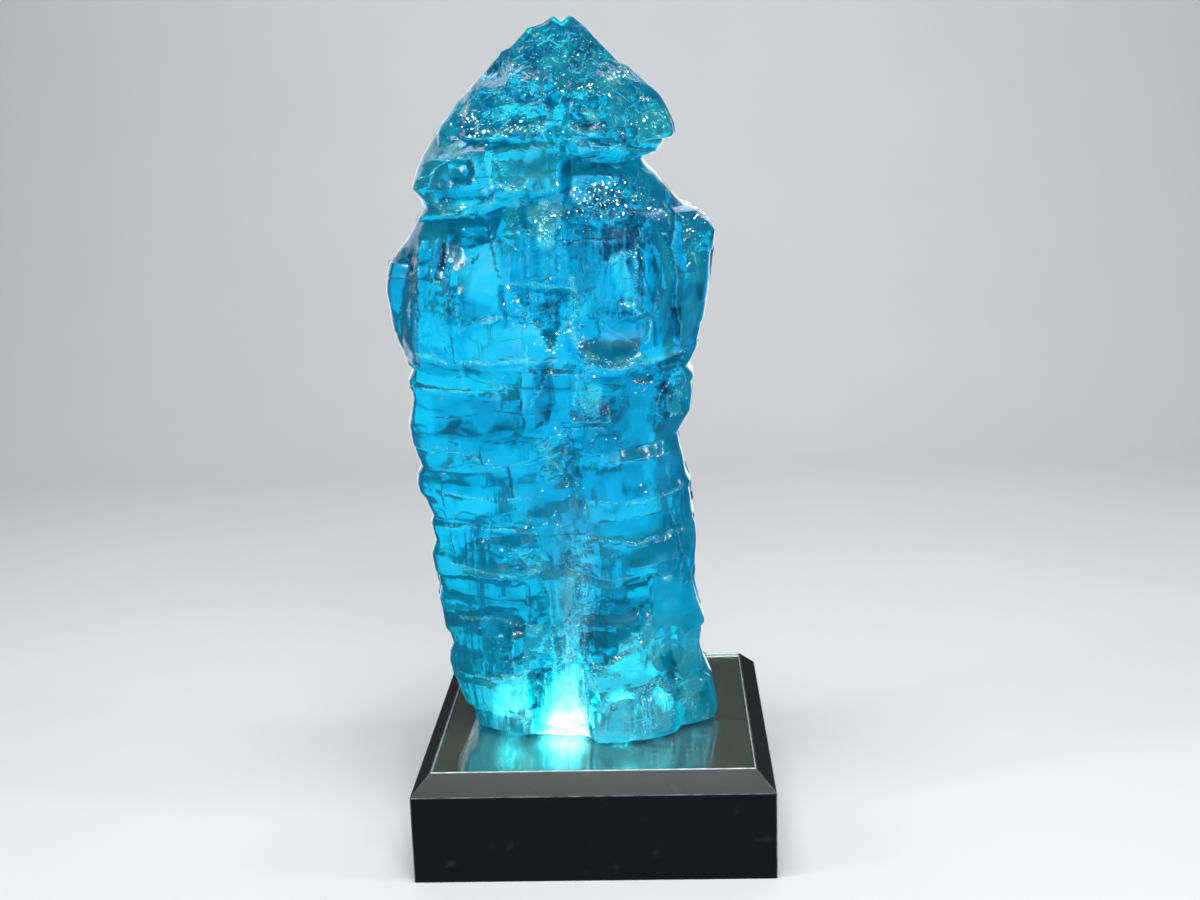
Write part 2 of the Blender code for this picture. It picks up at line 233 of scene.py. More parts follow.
# The lamp: a turned aluminium body on the base board with a frosted lens. It is on, and its light
# comes up through the round hole in the top board into the foot of the stone.
LAMP_COLOUR = (1.0, 0.97, 0.9, 1.0)
LAMP_STRENGTH = 12.0
METAL_ROUGHNESS = (0.22, 0.4)

turned, nodes, links, shader = new_material("turned_aluminium")
shader.inputs["Metallic"].default_value = 1.0
shader.inputs["Base Color"].default_value = (0.62, 0.63, 0.65, 1.0)
rings = object_noise(nodes, links, 600, 2.0, stretch=(0.05, 0.05, 1.0))
links.new(spread(nodes, links, rings, *METAL_ROUGHNESS), shader.inputs["Roughness"])
bump(nodes, links, shader, rings, 0.15, 0.0003)
coat("lamp_housing", turned)

frosted, nodes, links, shader = new_material("frosted_lens")
shader.inputs["Roughness"].default_value = 0.5
shader.inputs["Emission Strength"].default_value = LAMP_STRENGTH
shader.inputs["Emission Color"].default_value = LAMP_COLOUR
grain = object_noise(nodes, links, 700, 2.0)
frost_white = ramp(nodes, links, grain, ((0.3, (0.8, 0.8, 0.8, 1)), (0.7, (1, 1, 1, 1))))
links.new(frost_white, shader.inputs["Base Color"])
coat("lamp_lens", frosted)


# The top board: a sheet polished like a dark mirror, with a round hole for the lamp. It lies in
# the rebate under the glass.
MIRROR_TINT = (0.23, 0.25, 0.20, 1.0)

dark_mirror, nodes, links, shader = new_material("polished_black")
shader.inputs["Metallic"].default_value = 0.6
shader.inputs["Base Color"].default_value = MIRROR_TINT
dust = object_noise(nodes, links, 30, 6.0)
links.new(spread(nodes, links, dust, 0.0, 0.09), shader.inputs["Roughness"])
coat("top_board", dark_mirror)


# The glass plate: 6 mm float glass with its edges ground and polished to a small bright chamfer.
# It lies on the top board, level with the boards' upper edge.
GLASS_ARRIS = 0.7 * MM
GLASS_INDEX = 1.52

plate_glass, nodes, links, shader = new_material("float_glass")
shader.inputs["Base Color"].default_value = (0.97, 1.0, 0.99, 1.0)
shader.inputs["Transmission Weight"].default_value = 1.0
shader.inputs["IOR"].default_value = GLASS_INDEX
smears = object_noise(nodes, links, 22, 5.0, stretch=(1.0, 0.4, 1.0))
links.new(spread(nodes, links, smears, 0.0, 0.035), shader.inputs["Roughness"])
tint = add_node(nodes, "ShaderNodeVolumeAbsorption", Color=(0.35, 0.85, 0.75, 1.0), Density=14.0)
links.new(tint.outputs["Volume"], nodes["Material Output"].inputs["Volume"])

ground, nodes, links, shader = new_material("ground_glass_edge")
grinding = object_noise(nodes, links, 160, 4.0)
edge_colours = ((0.3, (0.25, 0.36, 0.34, 1.0)), (0.7, (0.75, 0.85, 0.82, 1.0)))
links.new(ramp(nodes, links, grinding, edge_colours), shader.inputs["Base Color"])
shader.inputs["Roughness"].default_value = 0.25

shape = bmesh.new()
bmesh.ops.create_cube(shape, size=1.0)
bmesh.ops.scale(shape, vec=glass_high - glass_low, verts=shape.verts)
bmesh.ops.translate(shape, vec=(glass_low + glass_high) / 2, verts=shape.verts)
glass_plate = finished_object("polished_glass_plate", shape, plate_glass)
soften_edges(glass_plate, GLASS_ARRIS, ground, segments=2)
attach(glass_plate, "root")
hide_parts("glass_plate")


# The stone: one natural aquamarine, broken and etched into blocks, ledges and shell-shaped
# hollows. Its outline and blocks are those of the solid, in millimetres above the glass, and finer
# breaks, etched points and growth lines are worked into the mesh.
RIGHT_REACH = (
    (0, 89), (8, 91), (21, 88), (33, 85), (36, 82), (48, 81), (60, 79), (70, 81), (79, 81), (92, 77),
    (108, 74), (129, 76), (142, 77), (151, 77), (160, 75), (181, 73), (189, 69), (203, 67), (212, 65),
    (220, 64), (228, 69), (236, 75), (250, 77), (263, 76), (268, 72), (272, 75), (281, 80), (299, 85),
    (315, 88), (332, 91), (347, 92), (365, 94), (372, 90), (379, 82), (382, 72), (390, 65), (398, 59),
    (404, 54), (410, 47), (414, 44), (416, 46), (417, 51), (419, 55), (424, 59), (427, 61), (428, 67),
    (431, 69), (438, 68), (448, 63), (459, 56), (469, 47), (478, 36), (480, 31), (489, 22), (497, 14),
    (504, 8), (511, 0), (512, -2),
)
LEFT_REACH = (
    (0, 92), (14, 94), (18, 99), (28, 103), (39, 107), (49, 109), (60, 109), (66, 107), (77, 110),
    (89, 112), (100, 114), (109, 112), (122, 115), (133, 117), (144, 114), (157, 117), (164, 115),
    (177, 121), (188, 124), (196, 123), (201, 120), (212, 124), (220, 127), (231, 129), (241, 127),
    (250, 125), (263, 127), (271, 123), (275, 127), (283, 130), (294, 135), (307, 137), (328, 140),
    (340, 138), (348, 136), (352, 131), (364, 121), (377, 114), (386, 108), (391, 110), (399, 117),
    (411, 113), (418, 110), (427, 106), (438, 99), (448, 91), (457, 83), (468, 73), (478, 63),
    (487, 54), (490, 52), (492, 46), (497, 41), (505, 33), (506, 29), (508, 22), (511, 18), (512, 16),
)
FRONT_REACH = (
    (0, 62), (40, 62), (80, 63), (150, 65), (220, 67), (262, 67), (275, 71), (330, 77), (365, 75),
    (385, 65), (405, 64), (430, 56), (460, 40), (485, 25), (509, 11),
)
BACK_REACH = (
    (0, 62), (40, 66), (100, 72), (200, 74), (262, 74), (280, 80), (340, 84), (375, 78), (400, 70),
    (440, 54), (470, 38), (495, 20), (509, 10),
)
MIDDLE = ((0, 0), (400, -4), (512, -10))
TIP_HEIGHT = 512
TIP_NOTCH = 3
# The dip between the tip's two peaks, as (across, half width, depth, how far down it reaches)
TIP_DIP = (-9, 5, 4, 22)
SECTION_FACES = (
    (2, 1.0), (56, 1.03), (116, 0.98), (179, 1.0), (226, 1.05), (264, 0.97), (313, 1.02),
)
CORNER_SHARPNESS = 26
FRONT_BLOCKS = (
    (-24, 487, 22, 24, 2), (14, 480, 20, 28, 3),
    (-46, 453, 30, 22, 9), (-76, 442, 22, 22, 4), (28, 449, 34, 24, 8), (56, 437, 15, 13, 8),
    (-88, 405, 33, 22, 12), (-38, 413, 25, 18, 7), (12, 424, 20, 12, 3),
    (30, 398, 34, 20, 2), (78, 368, 18, 22, 5),
    (-125, 325, 15, 42, 4), (-101, 300, 20, 27, 10), (-74, 330, 40, 53, 8), (-34, 348, 22, 37, 7),
    (-32, 298, 30, 22, 5), (46, 327, 50, 55, 9), (32, 345, 11, 34, 12), (80, 330, 15, 46, 11),
    (-86, 267, 42, 9, 3), (-24, 254, 20, 27, 9), (5, 251, 13, 14, 8), (36, 244, 37, 33, 6),
    (70, 258, 14, 20, 8),
    (-90, 238, 38, 24, 5), (-52, 236, 26, 28, 4), (-84, 192, 44, 22, 7), (-30, 192, 24, 28, 4),
    (24, 192, 36, 26, 7), (72, 165, 14, 48, 6),
    (-78, 162, 38, 13, 4), (-20, 158, 22, 22, 7), (38, 160, 30, 12, 4),
    (-82, 138, 40, 15, 7), (-38, 136, 20, 18, 3), (30, 138, 34, 15, 6),
    (-82, 106, 38, 19, 5), (-44, 104, 22, 22, 2), (-16, 106, 16, 26, 6), (18, 104, 26, 22, 8),
    (62, 98, 26, 26, 5),
    (-86, 66, 32, 23, 12), (-48, 66, 22, 22, 8), (10, 76, 27, 20, 14), (26, 50, 26, 16, 11),
    (70, 60, 20, 24, 5),
    (-58, 21, 42, 25, 4), (-24, 24, 18, 28, 2), (12, 15, 17, 22, 13), (41, 17, 18, 21, 8),
    (76, 24, 22, 24, 4),
)
BLOCK_EDGE_DROP = 8
# How much of the front's relief is left, by height: the middle's ledges are worn
WORN_RELIEF = ((72, 1.0), (92, 0.6), (232, 0.6), (258, 1.0))
# How much of a block is flat, to its sides, above and below
BLOCK_FLAT = (0.82, 0.55, 0.88)
BETWEEN_BLOCKS = -2.5
BLOCK_SPREAD = 1.12
SIDE_BLOCKS_SUNK = 1
SIDE_RELIEF = 0.5
BLOCK_LEAN = 0.16
BLOCK_TURN = math.radians(11)
FRONT_HOLLOWS = (
    (26, 330, 41, 54, 13), (18, 300, 25, 23, 7), (55, 64, 13, 18, 13),
    (-58, 478, 16, 12, 5), (10, 457, 12, 17, 5), (-46, 444, 20, 9, 4), (60, 262, 12, 10, 8),
    (-92, 345, 20, 28, 4), (44, 218, 22, 12, 5), (-4, 214, 14, 18, 5),
)
# A three-sided pit, with its corners as (across, height)
PIT_CORNERS = ((-49, 336), (-4, 331), (-20, 288))
PIT_DEPTH = 9
PIT_STEEPNESS = 1.6
CLEFT = (
    (512, -9, 6, 3), (470, -4, 8, 5), (425, -11, 8, 5), (370, -9, 8, 5), (330, -4, 8, 4),
    (276, -10, 8, 3), (215, -8, 8, 3), (150, -3, 9, 3), (100, -3, 9, 5), (60, -14, 10, 12),
    (30, -12, 9, 13), (0, -6, 8, 15),
)
TIERS = (
    (20, 22), (62, 24), (104, 24), (142, 18), (172, 18), (204, 22), (242, 24), (290, 26), (335, 28),
    (378, 22), (408, 20), (444, 22), (482, 24),
)
BLOCKS_ACROSS = 4
BACK_HALF_SPAN = 120
SIDE_HALF_SPAN = 85
# How a tier's blocks differ, in pitches, millimetres, and shares of the pitch and the tier's height
TIER_START = 0.6
TIER_STRAY_ASIDE = 0.12
TIER_STRAY_UP = 5
TIER_HALF_WIDTH = (0.52, 0.72)
TIER_HALF_HEIGHT = (0.95, 1.2)
TIER_STAND_OUT = 9
SEED = 21
# The tiers rise and fall around the crystal by this much, in waves that turn with height
LEDGE_WANDER = 4
LEDGE_WAVES = 3
LEDGE_TWIST = 31
# How fast the front and the back take over from the sides
FRONT_STEEPNESS = 2.2
FRONT_START = 0.4
# Relief fades towards a height above the tip, over this height, to this share
TIP_RELIEF = (12, 80, 0.12)
TIP_FINE_RELIEF = (8, 25, 0.3)
FOOT_BEVEL = 1.5
RING_POINTS = 560
RINGS = 640
STONE_TRIANGLES = 198000
# Edges that turn more than this are sharp
SHARPEST_SMOOTH = math.radians(14)
# How far the blocks' borders stray, over about how many millimetres
BORDER_WANDER = ((3.2, 24), (1.4, 8))
# Broken faces between sharp ridges, as (width, height, depth): the first are the solid's, the rest
# are finer. Each leans its own way and is hollowed a little.
BROKEN_FACES = (34, 26, 8)
FINE_FACES = ((15, 11, 2.2), (6, 5, 0.7))
FACE_LEAN = 0.5
FACE_HOLLOW = 0.3
FACE_LOWEST = 0.35
# Flat chips, as (width, height, rise of the flat across a chip)
CAP_CHIPS = ((17, 22, 2.6), (8, 10, 0.9), (3.8, 4.5, 0.3))
CHIP_STEP = 0.3
TIER_CHIPS = (50, 13, 0.35)
UPRIGHT_CHIPS = (4.2, 60, 0.7)
SMOOTH_SHARE = 0.3
LINED_LEAST = 0.12
# The cap is broken all round by this share, from this height, over this height
CAP_BROKEN = 0.35
CAP_FOOT = 365
CAP_FADE = 30
# Patches broken into fine glittering chips, as (across, height, half width, half height)
BROKEN_PATCHES = (
    (-20, 478, 44, 34), (20, 470, 30, 36), (50, 440, 22, 18), (-60, 448, 28, 18), (-30, 440, 26, 14),
    (20, 388, 36, 17), (82, 362, 15, 26), (-24, 320, 20, 24), (-32, 376, 20, 15), (6, 250, 15, 13),
    (-20, 60, 22, 34), (-46, 136, 18, 9), (60, 250, 14, 16), (-20, 214, 16, 22), (-8, 130, 14, 40),
)
# Patches with fine upright lines of growth, as (across, height, half width, half height)
LINED_PATCHES = (
    (-30, 356, 24, 44), (-100, 320, 24, 46), (-84, 66, 32, 24), (-60, 22, 44, 24), (30, 350, 30, 50),
    (-14, 100, 20, 30), (-40, 482, 34, 26), (8, 484, 22, 24), (72, 150, 16, 50), (-90, 144, 28, 12),
    (44, 20, 36, 20),
)
# A point's turn out of its neighbours, in degrees, where its painted highlight and paleness start and where
# they are full
EDGE_TURNS = (36, 90)
# Facets of the front, as (depth, tone from -1 dark to 1 light, corners as (across, height)). The
# tone is painted shade and painted light.
FACETS = (
    (3, -0.7, (-20, 470), (-12, 466), (-10, 453), (-18, 448), (-22, 456)),
    (4, -0.8, (-10, 465), (0, 460), (1, 452), (-6, 449), (-11, 457)),
    (2, -0.6, (2, 490), (12, 492), (11, 479), (1, 475)),
    (0, 0.5, (-15, 497), (-3, 496), (-3, 480), (-11, 477), (-16, 483)),
    (3, -0.35, (-42, 454), (-23, 455), (-18, 447), (-21, 440), (-39, 439), (-45, 445)),
    (1, 0.5, (-49, 453), (-43, 454), (-45, 441), (-50, 438)),
    (3, -0.5, (-3, 447), (20, 446), (23, 439), (10, 434), (-3, 437)),
    (0, 1.0, (4, 448), (12, 447), (16, 440), (14, 438), (8, 442)),
    (0, 0.4, (21, 449), (31, 450), (32, 441), (22, 433)),
    (2, -0.5, (8, 433), (32, 434), (36, 426), (21, 424), (6, 429)),
    (2, -0.4, (-71, 480), (-55, 489), (-50, 477), (-63, 468)),
    (2, -0.3, (15, 486), (26, 479), (24, 469), (12, 472)),
    (3, -0.5, (-88, 417), (-72, 419), (-67, 410), (-72, 401), (-84, 403)),
    (1, 0.5, (-87, 415), (-79, 417), (-83, 408), (-87, 407)),
    (0, 0.35, (-57, 419), (-30, 417), (-28, 406), (-37, 399), (-57, 401)),
    (1, -0.45, (-97, 399), (-53, 398), (-58, 391), (-94, 391)),
    (0, 0.6, (-98, 389), (-59, 390), (-66, 383), (-91, 382)),
    (1, -0.5, (-91, 434), (-50, 432), (-37, 426), (-64, 423), (-87, 428)),
    (3, -0.6, (-12, 423), (-4, 417), (-2, 400), (-7, 392), (-13, 395)),
    (2, -0.4, (0, 422), (44, 420), (47, 412), (3, 408)),
    (1, 0.3, (-51, 394), (-37, 396), (-38, 365), (-50, 365)),
    (0, 0.6, (-35, 386), (-22, 389), (-9, 386), (-13, 374), (-18, 361), (-24, 358), (-30, 368)),
    (1, -0.4, (-90, 381), (-51, 379), (-54, 365), (-72, 359), (-89, 362)),
    (0, 0.25, (-109, 372), (-91, 377), (-91, 366), (-100, 352), (-110, 355)),
    (2, -0.7, (-97, 365), (-90, 364), (-91, 344), (-97, 345)),
    (6, -1.0, (-120, 355), (-114, 355), (-114, 343), (-120, 340)),
    (0, 0.45, (-88, 356), (-47, 365), (-48, 317), (-73, 326), (-89, 337)),
    (0, 0.3, (-109, 336), (-95, 338), (-84, 321), (-83, 305), (-96, 292), (-112, 295)),
    (1, -0.5, (-92, 321), (-86, 322), (-81, 314), (-84, 307), (-91, 308)),
    (1, -0.45, (-81, 326), (-69, 322), (-70, 313), (-82, 301), (-82, 314)),
    (0, 0.4, (-68, 305), (-18, 304), (-17, 283), (-76, 283), (-81, 294)),
    (4, -0.6, (-55, 335), (-50, 335), (-49, 307), (-53, 303)),
    (0, -0.4, (-49, 336), (-4, 331), (-20, 288)),
    (0, -0.6, (-26, 321), (-13, 324), (-16, 300), (-23, 309)),
    (1, 0.9, (-31, 336), (-22, 335), (-24, 331), (-32, 330)),
    (2, -0.6, (-31, 279), (-18, 283), (-25, 267), (-34, 253)),
    (0, 0.4, (-76, 276), (-32, 279), (-38, 252), (-83, 257)),
    (1, -0.55, (-7, 386), (16, 383), (17, 350), (12, 330), (-6, 323), (-7, 357)),
    (2, -0.85, (17, 372), (42, 372), (44, 356), (33, 352), (17, 349)),
    (0, 0.55, (23, 349), (31, 354), (36, 336), (38, 317), (32, 319), (26, 333)),
    (1, -0.7, (31, 348), (39, 352), (39, 332)),
    (4, -0.75, (41, 363), (46, 360), (44, 320), (41, 312), (39, 323)),
    (2, -0.35, (46, 365), (57, 350), (59, 329), (49, 305), (44, 314), (47, 336)),
    (0, 0.55, (52, 374), (61, 356), (66, 339), (60, 318), (51, 302), (59, 328), (58, 350)),
    (0, -0.25, (3, 320), (38, 317), (43, 302), (36, 288), (18, 281), (2, 288), (-3, 302)),
    (1, 0.35, (-1, 318), (9, 324), (7, 313), (0, 306)),
    (3, -0.85, (62, 314), (69, 314), (67, 292), (63, 288)),
    (3, -0.9, (81, 327), (86, 328), (84, 317), (81, 317)),
    (0, 0.35, (71, 358), (85, 360), (83, 330), (72, 331)),
    (0, 0.45, (71, 322), (83, 316), (77, 287), (70, 283)),
    (5, -0.9, (51, 278), (74, 280), (71, 270), (55, 266)),
    (0, 0.5, (40, 284), (65, 292), (67, 281), (51, 275), (36, 279)),
    (0, -0.4, (12, 271), (40, 271), (46, 253), (39, 236), (13, 239)),
    (1, 0.7, (-4, 267), (6, 269), (13, 260), (10, 246), (2, 243), (-4, 252)),
    (2, -0.55, (-33, 275), (-20, 280), (-19, 254), (-25, 235), (-35, 233)),
    (1, -0.35, (-110, 256), (-43, 252), (-48, 222), (-107, 224)),
    (0, -0.2, (-109, 198), (-46, 198), (-51, 179), (-103, 185)),
    (0, -0.2, (-105, 155), (-34, 157), (-42, 132), (-102, 130)),
    (0, -0.3, (-85, 125), (-27, 121), (-30, 100), (-79, 98)),
    (0, -0.3, (-18, 204), (38, 206), (44, 181), (-12, 180)),
    (1, 0.35, (45, 224), (55, 224), (53, 209), (46, 206)),
    (0, -0.2, (-6, 153), (65, 156), (67, 137), (8, 128)),
    (2, -0.5, (4, 111), (43, 107), (39, 77), (14, 61), (-1, 70), (-3, 93)),
    (0, 0.7, (17, 75), (41, 88), (52, 68), (45, 43), (12, 27), (-2, 40), (0, 60)),
    (5, -0.5, (49, 56), (57, 58), (65, 38), (57, 35)),
    (5, -1.0, (-3, 25), (3, 28), (3, -1), (-4, -4)),
    (2, -0.5, (-9, 88), (17, 88), (19, 70), (10, 58), (-4, 58), (-10, 70)),
    (0, 0.9, (40, 39), (52, 41), (57, 22), (54, 5), (40, 2)),
    (0, 0.4, (-82, 39), (-66, 46), (-64, 5), (-80, 16)),
    (0, 0.9, (-66, 51), (-50, 52), (-50, 7), (-63, 10)),
    (2, 0.7, (27, 84), (34, 82), (46, 62), (40, 58), (33, 70)),
    (0, 0.7, (64, 39), (78, 36), (77, 14), (65, 12)),
    (2, -0.9, (34, 20), (38, 20), (39, 4), (35, 3)),
    (0, 0.6, (1, 27), (34, 36), (43, 22), (37, 2), (0, -4), (-2, 15)),
    (0, -0.2, (-97, 86), (-81, 89), (-61, 79), (-70, 56), (-88, 43)),
    (3, -0.8, (-48, 54), (-29, 57), (-32, 26), (-48, 21)),
    (2, -0.6, (23, 121), (44, 122), (41, 115), (24, 115)),
)
# A facet's wall is this wide, and this much wider for each millimetre of its depth
FACET_WALL = (1.4, 1.1)
# Broken lips of the front, bright with a painted highlight, as (half width, points as (across, height))
RIMS = (
    (3.0, (-33, 385), (-25, 373), (-19, 362)), (2.6, (-11, 385), (-17, 373), (-19, 362)),
    (3.2, (-22, 388), (-21, 376), (-20, 362)), (2.6, (-31, 379), (-14, 378)), (2.4, (-29, 385), (-13, 384)),
    (2.0, (-26, 64), (-19, 52), (-17, 30), (-12, 6)), (2.0, (-16, 60), (-13, 40), (-8, 20)),
    (2.0, (-28, 40), (-24, 22), (-22, 4)), (1.8, (-66, 50), (-50, 52)), (1.8, (-50, 50), (-50, 8)),
    (1.9, (5, 26), (33, 35), (37, 22), (36, 3)), (1.9, (40, 38), (52, 40), (57, 22)),
    (2.2, (-53, 433), (-46, 437), (-37, 438), (-28, 434), (-18, 441)),
    (2.2, (-4, 438), (7, 433), (19, 437)), (1.8, (7, 448), (12, 446), (16, 439)),
    (1.2, (-30, 455), (-22, 454), (-15, 446)), (2.2, (-98, 391), (-91, 382), (-66, 382), (-57, 389)),
    (2.0, (-62, 397), (-53, 400), (-39, 398), (-33, 403)), (1.2, (-8, 430), (17, 424), (44, 420)),
    (1.0, (-12, 438), (-13, 397)), (1.2, (-85, 420), (-69, 420), (-67, 410)),
    (1.0, (-27, 383), (-19, 386), (-9, 383), (-14, 372), (-16, 363)),
    (1.0, (-111, 364), (-111, 334), (-115, 299)), (0.9, (-95, 338), (-84, 321), (-83, 302), (-74, 311)),
    (1.6, (-42, 317), (-27, 304), (-19, 290)), (1.2, (-49, 335), (-29, 333), (-4, 331)),
    (1.4, (-69, 311), (-54, 312)), (1.6, (-115, 286), (-102, 285), (-93, 280), (-55, 282), (-17, 282)),
    (1.2, (-84, 277), (-85, 259)), (1.2, (-114, 259), (-71, 259)),
    (1.8, (-4, 337), (-2, 320), (-5, 306), (-2, 292), (8, 284), (21, 280), (40, 283)),
    (1.2, (38, 316), (48, 305), (46, 292), (36, 287)), (0.8, (14, 306), (38, 291)),
    (1.8, (23, 349), (30, 354), (40, 353)), (1.0, (40, 363), (39, 319)), (1.4, (32, 319), (37, 317)),
    (1.8, (-14, 281), (13, 278), (40, 277), (56, 279), (74, 282)), (1.0, (-5, 270), (7, 276), (19, 273)),
    (1.4, (4, 259), (12, 262), (10, 248)), (1.2, (-108, 217), (-80, 212), (-60, 205)),
    (1.0, (-31, 216), (-20, 205), (-11, 190)), (1.0, (-20, 281), (-29, 261), (-38, 248)),
    (1.2, (-105, 185), (-75, 182), (-40, 183)), (1.2, (-104, 158), (-62, 160), (-34, 157)),
    (1.2, (1, 181), (37, 177), (68, 181)), (1.6, (0, 153), (37, 148), (69, 151)),
    (1.2, (-102, 130), (-63, 126), (-35, 130)), (1.2, (-97, 89), (-65, 93), (-37, 85)),
    (1.8, (-91, 43), (-67, 47), (-47, 54)), (1.6, (-6, 78), (0, 59), (16, 62), (35, 81), (42, 91)),
    (1.6, (-8, 32), (-1, 26), (34, 39), (48, 43)),
    (1.4, (-4, -3), (18, -1), (44, 9), (69, 21), (87, 38)), (1.2, (44, 34), (44, 9)),
    (1.0, (-24, 116), (-23, 63)),
)
RIM_RISE = 0.7
# Rims narrower than this are fainter
WIDEST_FAINT_RIM = 1.6
# How far a lip strays, over how many millimetres, and over how many it comes and goes
RIM_STRAY = (1.3, 3.5)
RIM_GAPS = 9
RIM_PRESENCE = (0.75, 1.6)
RIM_SPECKLE = (2.2, 1.8)
RIM_SPECKLE_SHARES = (0.15, 1.3)
# Noise is read at places this far apart, in millimetres, wherever it has to differ
NOISE_APART = 500
BLOCK_TONE = 0.4
CLOUD_TONES = ((0.25, 55), (0.15, 11))
CAP_TONE = 0.28
PALE_CAP_FOOT = 395
# Small faces with tones of their own, as (tone, width, height), and fine upright lines with theirs
FACE_TONES = ((0.42, 15, 11), (0.4, 5.5, 4.5))
LARGE_FACES_LEAST = 0.4
LINE_TONES = (0.7, 2.0, 34)
# The lamp's light climbs beside the cleft, as (height, across, half width, strength), in streaks
# this wide and high
CLEFT_GLOW = (
    (0, -19, 15, 1.0), (30, -17, 10, 1.0), (62, -16, 6, 0.9), (90, -12, 12, 0.45), (190, -8, 20, 0.0),
)
GLOW_STREAKS = (2.6, 30)
GLOW_STREAK_SHARES = (0.2, 0.9)
GLOW_STRAY = (2.5, 7)
GLOW_NOISE_AT = 900
# Up to this height, and ever less over the next 30 mm, it ends on the right at the cleft
GLOW_END_TOP = (55, 30)
GLOW_RIGHT_END = -3
GLOW_END_FADE = 2.5


def read(rows, height):
    """The value beside a height in rows of (height, value), on a straight line between rows."""
    heights, values = zip(*rows)
    return np.interp(height, heights, values)


def section_reach(angle):
    """Distance from the axis to the section's wall, with its corners a little rounded."""
    total = np.zeros_like(angle)
    for direction, distance in SECTION_FACES:
        facing = np.maximum(np.cos(angle - math.radians(direction)), 0.0)
        total += (facing / distance) ** CORNER_SHARPNESS
    return total ** (-1.0 / CORNER_SHARPNESS)


def blocks_out(across, height, blocks):
    """How far the blocks stand out, and their tone: each is flat and breaks off on all sides, most
    sharply below, and the highest one shows."""
    chance = np.random.default_rng(SEED)
    tones = np.random.default_rng(SEED + 1)
    out, tone = np.full_like(height, BETWEEN_BLOCKS), np.zeros_like(height)
    for block_across, block_height, half_width, half_height, stand_out in blocks:
        turn = chance.uniform(-BLOCK_TURN, BLOCK_TURN)
        lean_aside, lean_up = chance.uniform(-BLOCK_LEAN, BLOCK_LEAN, 2)
        from_middle, from_level = across - block_across, height - block_height
        aside = from_middle * math.cos(turn) + from_level * math.sin(turn)
        above = from_level * math.cos(turn) - from_middle * math.sin(turn)
        aside_share = aside / (half_width * BLOCK_SPREAD)
        up_share = above / (half_height * BLOCK_SPREAD)
        drop = np.zeros_like(height)
        for share, flat in zip((np.abs(aside_share), up_share, -up_share), BLOCK_FLAT):
            drop += np.maximum(share - flat, 0.0) / (1 - flat)
        face = stand_out + lean_aside * aside + lean_up * above - BLOCK_EDGE_DROP * drop
        tone = np.where(face > out, tones.uniform(-BLOCK_TONE, BLOCK_TONE), tone)
        out = np.maximum(out, face)
    return out, tone


def hollows_in(across, height):
    """Depth of the bowls that broke out of the front, each with a sharp rim."""
    depth = np.zeros_like(height)
    for middle, level, half_width, half_height, deepest in FRONT_HOLLOWS:
        reach = ((across - middle) / half_width) ** 2 + ((height - level) / half_height) ** 2
        depth += deepest * np.maximum(1.0 - reach, 0.0)
    return depth


def pit_in(across, height):
    """Depth of the three-sided pit."""
    depth = np.full_like(height, PIT_DEPTH)
    for (x0, z0), (x1, z1) in zip(PIT_CORNERS, PIT_CORNERS[1:] + PIT_CORNERS[:1]):
        within = (z1 - z0) * (across - x0) - (x1 - x0) * (height - z0)
        depth = np.minimum(depth, PIT_STEEPNESS * within / math.hypot(x1 - x0, z1 - z0))
    return np.maximum(depth, 0.0)


def cleft_in(across, height):
    """Depth of the V-shaped cleft between the left and right halves of the front."""
    rows = CLEFT[::-1]
    middle = read([(row[0], row[1]) for row in rows], height)
    half_width = read([(row[0], row[2]) for row in rows], height)
    deepest = read([(row[0], row[3]) for row in rows], height)
    return deepest * np.maximum(1.0 - np.abs(across - middle) / half_width, 0.0)


def from_sides(across, height, sides):
    """Distance to the nearest of the sides, and whether each point is inside them."""
    nearest, inside = np.full_like(height, 1e3), np.zeros(len(height), bool)
    for (x0, z0), (x1, z1) in sides:
        share = (across - x0) * (x1 - x0) + (height - z0) * (z1 - z0)
        share = np.clip(share / ((x1 - x0) ** 2 + (z1 - z0) ** 2), 0.0, 1.0)
        gap = np.hypot(across - x0 - share * (x1 - x0), height - z0 - share * (z1 - z0))
        nearest = np.minimum(nearest, gap)
        if z0 != z1:
            crossing = (z0 > height) != (z1 > height)
            inside ^= crossing & (across < x0 + (x1 - x0) * (height - z0) / (z1 - z0))
    return nearest, inside


def facets_in(across, height, tone):
    """Depth of the front's facets, and the tone that they leave: painted shade and painted light."""
    depth = np.zeros_like(height)
    for deepest, facet_painted_shading, *corners in FACETS:
        nearest, inside = from_sides(across, height, zip(corners, corners[1:] + corners[:1]))
        within = np.where(inside, nearest, -nearest)
        depth += deepest * np.clip(within / (FACET_WALL[0] + FACET_WALL[1] * deepest), 0.0, 1.0)
        share = np.clip(within + 0.5, 0.0, 1.0)
        tone = tone * (1 - share) + facet_painted_shading * share
    return depth, tone


def rims_out(across, height):
    """1 on the bright broken lips, fading to 0 beside them."""
    share = np.zeros_like(height)
    for half_width, *points in RIMS:
        nearest, _ = from_sides(across, height, zip(points, points[1:]))
        strength = min(half_width / WIDEST_FAINT_RIM, 1.0) ** 2
        share = np.maximum(share, strength * np.clip(1.5 - nearest / half_width, 0.0, 1.0))
    return share


def tier_blocks(chance, half_span):
    """Blocks in level tiers, like bricks, for a side of the crystal that the front doesn't show."""
    blocks = []
    for level, half_height in TIERS:
        pitch = 2 * half_span / BLOCKS_ACROSS
        start = -half_span + pitch * chance.uniform(0.0, TIER_START)
        for number in range(BLOCKS_ACROSS):
            middle = start + pitch * (number + chance.uniform(-TIER_STRAY_ASIDE, TIER_STRAY_ASIDE))
            blocks.append((
                middle, level + chance.uniform(-TIER_STRAY_UP, TIER_STRAY_UP),
                pitch * chance.uniform(*TIER_HALF_WIDTH), half_height * chance.uniform(*TIER_HALF_HEIGHT),
                chance.uniform(0, TIER_STAND_OUT),
            ))
    return blocks


